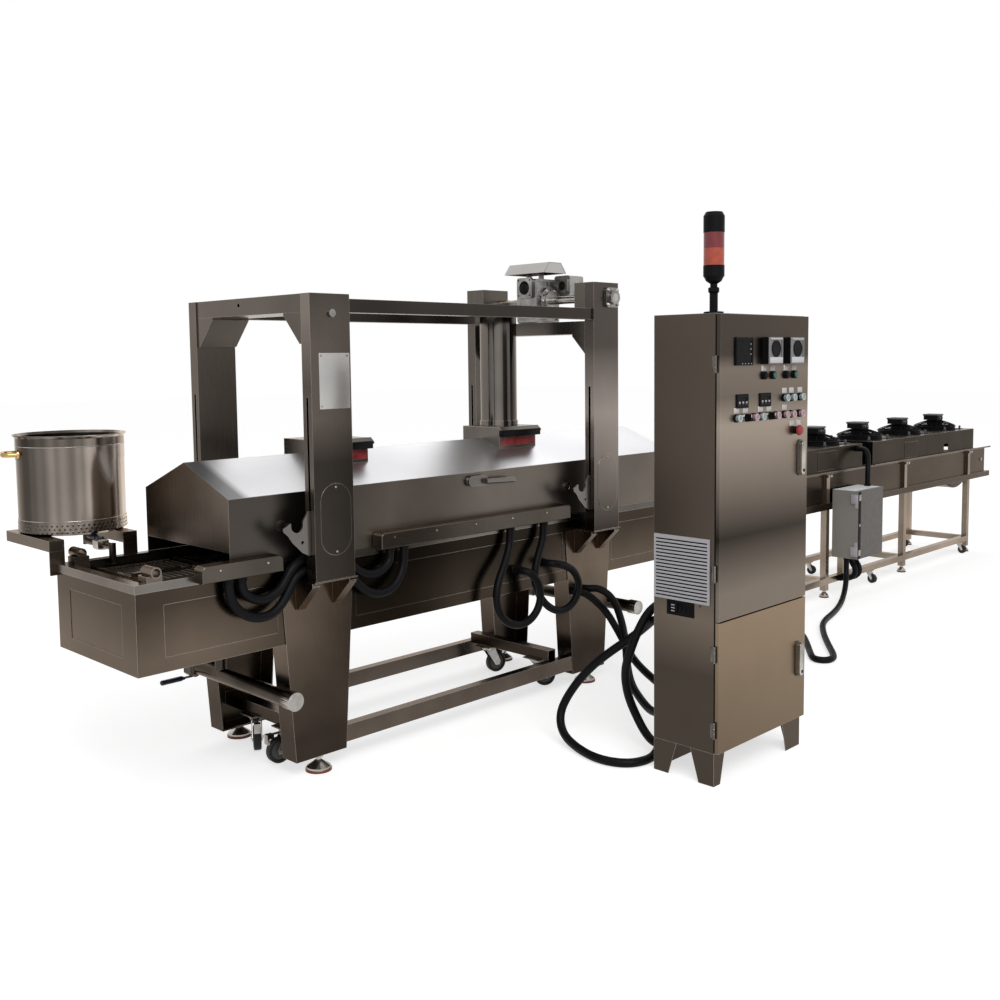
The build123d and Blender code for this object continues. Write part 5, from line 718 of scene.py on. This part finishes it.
bm = bmesh.new()
x, z = FIRST_METER
for rise in (26, 8, -10):
    add_lathe(bm, [(2.6, 0), (2.6, 0.8), (1.6, 1.4), (0, 1.4)], (x + 39, FIRST_FACE + 2, z + rise), OUT, 12)
for step in (-18, 1, 21, 40):
    add_lathe(bm, [(2.2, 0), (2.2, 0.6), (0, 0.6)], (x + step, FIRST_FACE, z - 44), OUT, 12)
for x, z in SMALL_METERS:
    for step in (-22, 1, 24):
        for rise in (-5, -16):
            at, up = x + step, z + rise
            add_box(bm, (at - 5, at + 5), (SMALL_FACE + 0.4, SMALL_FACE + 2), (up - 3.4, up + 3.4), 0.5)
make_piece("meter_keys", bm, "white_plastic", "upper_door")

for tint, places in LAMPS.items():
    bm = bmesh.new()
    for x, z in places:
        add_lathe(bm, [(12.6, 0), (12.6, 5), (9.6, 5.4), (0, 5.4)], (x, LAMP_FACE, z), OUT, 24)
    make_piece(tint + "_lamps", bm, tint + "_lens", "upper_door")
    bm = bmesh.new()
    for x, z in places:
        profile = [(9.6, 4), (13, 4), (13, 6), (12.4, 6.8), (10.2, 6.8), (9.6, 6), (9.6, 4)]
        add_lathe(bm, profile, (x, LAMP_FACE, z), OUT, 24)
    make_piece(tint + "_rims", bm, tint + "_rim", "upper_door")

bm = bmesh.new()
for x, z in SELECTORS.values():
    profile = [(13.6, 0), (15.4, 0), (15.4, 5), (14.6, 6), (13.6, 6), (13.6, 0)]
    add_lathe(bm, profile, (x, DOOR_FACE, z), OUT, 28)
make_piece("selector_rings", bm, "plated", "upper_door")

for name, (x, z) in SELECTORS.items():
    bm = bmesh.new()
    front = front_of(name)
    add_box(bm, (x - 2.4, x + 2.4), (front - 0.8, front), (z + 1, z + 12), 0.3)
    make_piece(name + "_line", bm, "label", name)

# Locks of the door handles
for name, (x, z) in HANDLES.items():
    bm = bmesh.new()
    front = front_of(name)
    add_lathe(bm, [(7, 0), (7, 0.8), (4.5, 0.8), (4, 0.3), (0, 0.3)], (x, front, z - 48), OUT, 20)
    make_piece(name + "_lock", bm, "black_gloss", name)

# Hinges, a black strip that is a seal and also painted shade in the door gap, and switches of the cabinet
HINGES = (1518, 777, 486, 209)
HINGE_PIN = (952.6, -1467.5)
SEAL_Z = (126, 1692)
SWITCH_FACE, SWITCH_Z = 955, (613, 650)
bm = bmesh.new()
for z in HINGES:
    add_box(bm, (CABINET_LEFT - 1.8, CABINET_LEFT), (-1462.4, -1450), (z - 26, z + 26), 0.6)
    for low, high in ((-30, -9.4), (-9, 9), (9.4, 30)):
        add_lathe(bm, [(0, low), (4.4, low), (5.2, low + 1), (5.2, high - 1), (4.4, high), (0, high)],
                  (*HINGE_PIN, z), sides=18)
make_piece("cabinet_hinges", bm, "rim", "frame")

# A black strip at the door gap: a seal, and painted shade in the gap
bm = bmesh.new()
add_box(bm, (956, 957.9), (-1467, -1462.5), SEAL_Z, 0.6)
make_piece("door_seal_and_gap_shade", bm, "black", "frame")

bm = bmesh.new()
add_box(bm, (951.5, SWITCH_FACE), (-1306, -1269), SWITCH_Z, 1)
add_box(bm, (953, SWITCH_FACE), (-1367, -1309), SWITCH_Z, 1)
for step in range(3):
    add_box(bm, (950, SWITCH_FACE), (-1362 + 18 * step, -1349 + 18 * step), (620, 643), 1)
for rise in (652, 666):
    add_lathe(bm, [(3.4, 0), (3.4, 0.6), (0, 0.6)], (CABINET_LEFT, -1403, rise), (-1, 0, 0), 12)
make_piece("breakers", bm, "black_gloss", "frame")

bm = bmesh.new()
for rise in (620, 631, 642):
    add_box(bm, (950.9, 951.6), (-1296, -1281), (rise - 1.6, rise + 1.6))
make_piece("breaker_marks", bm, "label", "frame")

# Screws of the covers, a blank plate, and the bolts of the bearings and of the gearbox
SHAFT_X, SHAFT_Z = 1680, 1820
BEARING_PITCH, BEARING_FACE = 33, 426
PLATE_X, PLATE_Z, PLATE_INSET = (34, 170), (1372, 1573), 10
COVER_FACE = -353
COVER_SCREWS = [(x, 858) for x in (420, 640, 860, 1080, 1300)] + [(-350, 838), (-160, 838)]
bm = bmesh.new()
for middle in COLUMN_MIDDLES:
    for z in (852, 1089):
        add_screw(bm, (middle + 6, FRONT - 2, z), OUT, 5)
for x in (PLATE_X[0] + PLATE_INSET, PLATE_X[1] - PLATE_INSET):
    for z in (PLATE_Z[0] + PLATE_INSET, PLATE_Z[1] - PLATE_INSET):
        add_screw(bm, (x, FRONT - 1.4, z), OUT, 4)
make_piece("column_screws", bm, "plated", "frame")

bm = bmesh.new()
add_box(bm, PLATE_X, (FRONT - 1.4, FRONT), PLATE_Z, 0.6)
make_piece("blank_plate", bm, "plate", "frame")

bm = bmesh.new()
for x, z in COVER_SCREWS:
    add_screw(bm, (x, COVER_FACE, z), OUT, 4.5)
make_piece("cover_screws", bm, "plated", "hood")

bm = bmesh.new()
for side in WINGS:
    for across in WINGS:
        for up in WINGS:
            at = (SHAFT_X + BEARING_PITCH * across, BEARING_FACE * side, SHAFT_Z + BEARING_PITCH * up)
            add_bolt(bm, at, (0, side, 0), 7)
for point in ring_points((SHAFT_X, -42, SHAFT_Z), 55, 6, OUT):
    add_bolt(bm, point, OUT, 6)
make_piece("drive_bolts", bm, "plated", "frame")

# End sheets of the gearbox cover
COVER_X, COVER_Y, COVER_Z = (1565, 1725), (-105, 155), (1950, 2000)
COVER_SLOPE, COVER_SHEET = 37.5, 2.0
bm = bmesh.new()
for y in (COVER_Y[0] + 0.5, COVER_Y[1] - 0.5 - COVER_SHEET):
    foot, ridge = COVER_X, (COVER_X[0] + COVER_SLOPE, COVER_X[1] - COVER_SLOPE)
    outline = [(foot[0] + 4, COVER_Z[0]), (foot[1] - 4, COVER_Z[0]), (ridge[1] - 1, COVER_Z[1] - 2.5),
               (ridge[0] + 1, COVER_Z[1] - 2.5)]
    near = [bm.verts.new(place(x, y, z)) for x, z in outline]
    far = [bm.verts.new(place(x, y + COVER_SHEET, z)) for x, z in outline]
    bm.faces.new(near)
    bm.faces.new(far[::-1])
    for step in range(4):
        after = (step + 1) % 4
        bm.faces.new((near[step], near[after], far[after], far[step]))
make_piece("cover_ends", bm, "plate", "frame")

# Sleeves of the valve levers
SLEEVES = {"drain_sleeve": ("drain_valve", 10.4, (-246, 297, 289.7), (-150, 297, 289.7)),
           "pot_sleeve": ("pot_valve", 13.2, (-450, 424, 889.3), (-450, 370, 889.3))}
for name, (body, radius, start, end) in SLEEVES.items():
    bm = bmesh.new()
    along = Vector(end) - Vector(start)
    run = along.length
    profile = [(0, 0), (radius - 4, 1.5), (radius, 6), (radius, run - 6), (radius - 2, run), (0, run)]
    add_lathe(bm, profile, start, along, 18)
    make_piece(name, bm, "blue_sleeve", body)

# Oil pot: seams, and dark discs on the skirt that paint the shade inside its piercing
PIERCED_ROWS, PIERCED_COUNT = (917, 930, 943), 66
bm = bmesh.new()
for z, proud in ((1236, 1.7), (958, 0.2)):
    add_tube(bm, ring_points((*POT_AT, z), POT_RADIUS + proud, 64), 1.3, 6, True)
make_piece("pot_seams", bm, "plated", "frame")

bm = bmesh.new()
for row, z in enumerate(PIERCED_ROWS):
    for ray in circle(PIERCED_COUNT, shift=row % 2 / 2):
        at = Vector((*POT_AT, z)) + ray * (POT_RADIUS + 1.2)
        add_lathe(bm, [(4.4, 0), (4.4, 0.8), (3.2, 1.3), (0, 1.3)], at, ray, 8)
make_piece("pot_piercing_shade", bm, "pot_dark", "frame")

# Cross rods of the two belts: first and last X, half width and height
BELTS = ((-440, 2470, 230, 781.5), (2795, 6570, 216, 765.5))
ROD_PITCH = 25
bm = bmesh.new()
for low, high, half, z in BELTS:
    for step in range(int((high - low) / ROD_PITCH) + 1):
        x = low + ROD_PITCH * step
        add_tube(bm, [(x, -half, z), (x, half, z)], 2.6, 6)
make_piece("belt_rods", bm, "belt_rod", "frame")

# Exhaust visors
EXHAUST_X = (360, 1360)
bm = bmesh.new()
for x in EXHAUST_X:
    add_box(bm, (x - 122, x + 128), (-146, -119), (1190, 1221), 1.5)
make_piece("visors", bm, "black_gloss", "hood")

# Fans: wire guards, fins, lids and feet
GUARD_RINGS = (144, 128, 111, 94, 77, 61)
GUARD_SPOKES, GUARD_SPANS = 12, (149, 130, 110, 85, 58)
FAN_FOOT = 140
FIN_HEIGHTS = range(990, 1030, 8)
LID_Z = (1063, 1076)


def guard_height(radius):
    return FAN_BOX_TOP + 32 + 40 * cos(pi / 2 * radius / 150)


bm = bmesh.new()
for x in FAN_X:
    for radius in GUARD_RINGS:
        add_tube(bm, ring_points((x, 0, guard_height(radius)), radius, 36), 2.2, 5, True)
    for ray in circle(GUARD_SPOKES):
        add_tube(bm, [Vector((x, 0, guard_height(span) + 2)) + ray * span for span in GUARD_SPANS], 2.6, 5)
    for z in FIN_HEIGHTS:
        add_lathe(bm, [(54, 0), (60, 0), (60, 3), (54, 3), (54, 0)], (x, 0, z), sides=28)
    add_lathe(bm, [(156, 0), (156, 5), (149, 7), (149, 0), (156, 0)], (x, 0, FAN_BOX_TOP + 24), sides=48)
make_piece("fan_guards", bm, "fan_black", "frame")

bm = bmesh.new()
for x in FAN_X:
    add_box(bm, (x - 89, x + 29), (-59, 59), LID_Z, 5)
    for step in (-62, -30):
        add_lathe(bm, [(9, 0), (9, 12), (7.5, 14), (7.5, 20), (0, 20)], (x + step, -55, 1048), OUT, 14)
    for across in WINGS:
        for deep in WINGS:
            profile = [(15, 0), (15, 4), (8, 5), (8, 24), (6, 27), (0, 27)]
            add_lathe(bm, profile, (x + FAN_FOOT * across, FAN_FOOT * deep, FAN_BOX_TOP), sides=14)
make_piece("fan_lids", bm, "fan_grey", "frame")

# Clamps of the junction box
left, face = JUNCTION_X[0], JUNCTION_FACE
bm = bmesh.new()
for z in (640, 305):
    add_box(bm, (left - 11, left - 0.8), (face + 1, face + 46), (z - 30, z + 30), 2.5)
    add_box(bm, (left - 14, left - 11), (face + 6, face + 30), (z - 22, z + 22), 1.2)
make_piece("junction_clamps", bm, "white_plastic", "junction_door")

# Clamps of the guide rail
CLAMP_X = (2950, 4070, 5190, 6310)
CLAMP_BACK, CLAMP_FACE = 248, 262
bm = bmesh.new()
for x in CLAMP_X:
    for side in WINGS:
        low, high = sorted((CLAMP_BACK * side, CLAMP_FACE * side))
        add_box(bm, (x - 22, x + 34), (low, high), (772, 789), 2)
        add_bolt(bm, (x + 6, CLAMP_FACE * side, 780), (0, side, 0), 6)
make_piece("rail_clamps", bm, "plated", "frame")

# Painted shade: a black strip along the door's left edge, where the door's side is in shade; and the lock of
# the junction box
bm = bmesh.new()
add_box(bm, (left + 1, left + 36), (face - 0.8, face), (JUNCTION_Z[0] + 4, JUNCTION_Z[1] - 4), 0.3)
make_piece("junction_shade_strip", bm, "black", "junction_door")

bm = bmesh.new()
profile = [(9, 0), (9, 2.4), (7.5, 3.4), (4, 3.4), (4, 1.2), (0, 1.2)]
add_lathe(bm, profile, (left + 18, face - 0.8, 475), OUT, 20)
for z in (650, 300):
    add_box(bm, (left + 3, left + 30), (face - 4.5, face - 0.8), (z - 19, z + 19), 1.4)
make_piece("junction_lock", bm, "plated", "junction_door")


# Studio
FLOOR = 40


def show_white(tree, shown, other, strength):
    """A strength for rays that see the background, and another for the light that falls on the object."""
    path = tree.nodes.new("ShaderNodeLightPath")
    seen = path.outputs["Is Camera Ray"]
    for ray in ("Is Glossy Ray", "Is Transmission Ray"):
        either = tree.nodes.new("ShaderNodeMath")
        either.operation = "MAXIMUM"
        link(tree, seen, either.inputs[0])
        link(tree, path.outputs[ray], either.inputs[1])
        seen = either.outputs["Value"]
    spread = tree.nodes.new("ShaderNodeMapRange")
    spread.inputs["To Min"].default_value = other
    spread.inputs["To Max"].default_value = shown
    link(tree, seen, spread.inputs["Value"])
    link(tree, spread.outputs["Result"], strength)


def make_studio():
    world = bpy.data.worlds.new("studio")
    world.use_nodes = True
    tree = world.node_tree
    tree.nodes["Background"].inputs["Color"].default_value = (1, 1, 1, 1)
    show_white(tree, 1.0, 0.6, tree.nodes["Background"].inputs["Strength"])
    scene.world = world
    mesh = bpy.data.meshes.new("floor")
    corners = [(-FLOOR, -FLOOR, 0), (FLOOR, -FLOOR, 0), (FLOOR, FLOOR, 0), (-FLOOR, FLOOR, 0)]
    mesh.from_pydata(corners, [], [(0, 1, 2, 3)])
    floor = bpy.data.objects.new("floor", mesh)
    floor.location.z = -0.0005
    scene.collection.objects.link(floor)
    material, tree, shader = nodes_of("floor")
    shader.inputs["Base Color"].default_value = (0.58, 0.58, 0.58, 1)
    shader.inputs["Roughness"].default_value = 0.9
    shader.inputs["Specular IOR Level"].default_value = 0.0
    shader.inputs["Emission Color"].default_value = (1, 1, 1, 1)
    show_white(tree, 0.64, 0.0, shader.inputs["Emission Strength"])
    mesh.materials.append(material)


def softbox(name, at, target, size, power):
    data = bpy.data.lights.new(name, "AREA")
    data.shape = "RECTANGLE"
    data.size, data.size_y = size
    data.energy = power
    lamp = bpy.data.objects.new(name, data)
    lamp.location = at
    lamp.rotation_euler = (Vector(target) - Vector(at)).to_track_quat("-Z", "Y").to_euler()
    scene.collection.objects.link(lamp)


make_studio()
softbox("key", (-5.0, -5.5, 6.0), (0, 0, 0.8), (5, 4), 330)
softbox("back", (5.0, 6.5, 7.0), (-1, 0, 0.9), (8, 5), 190)
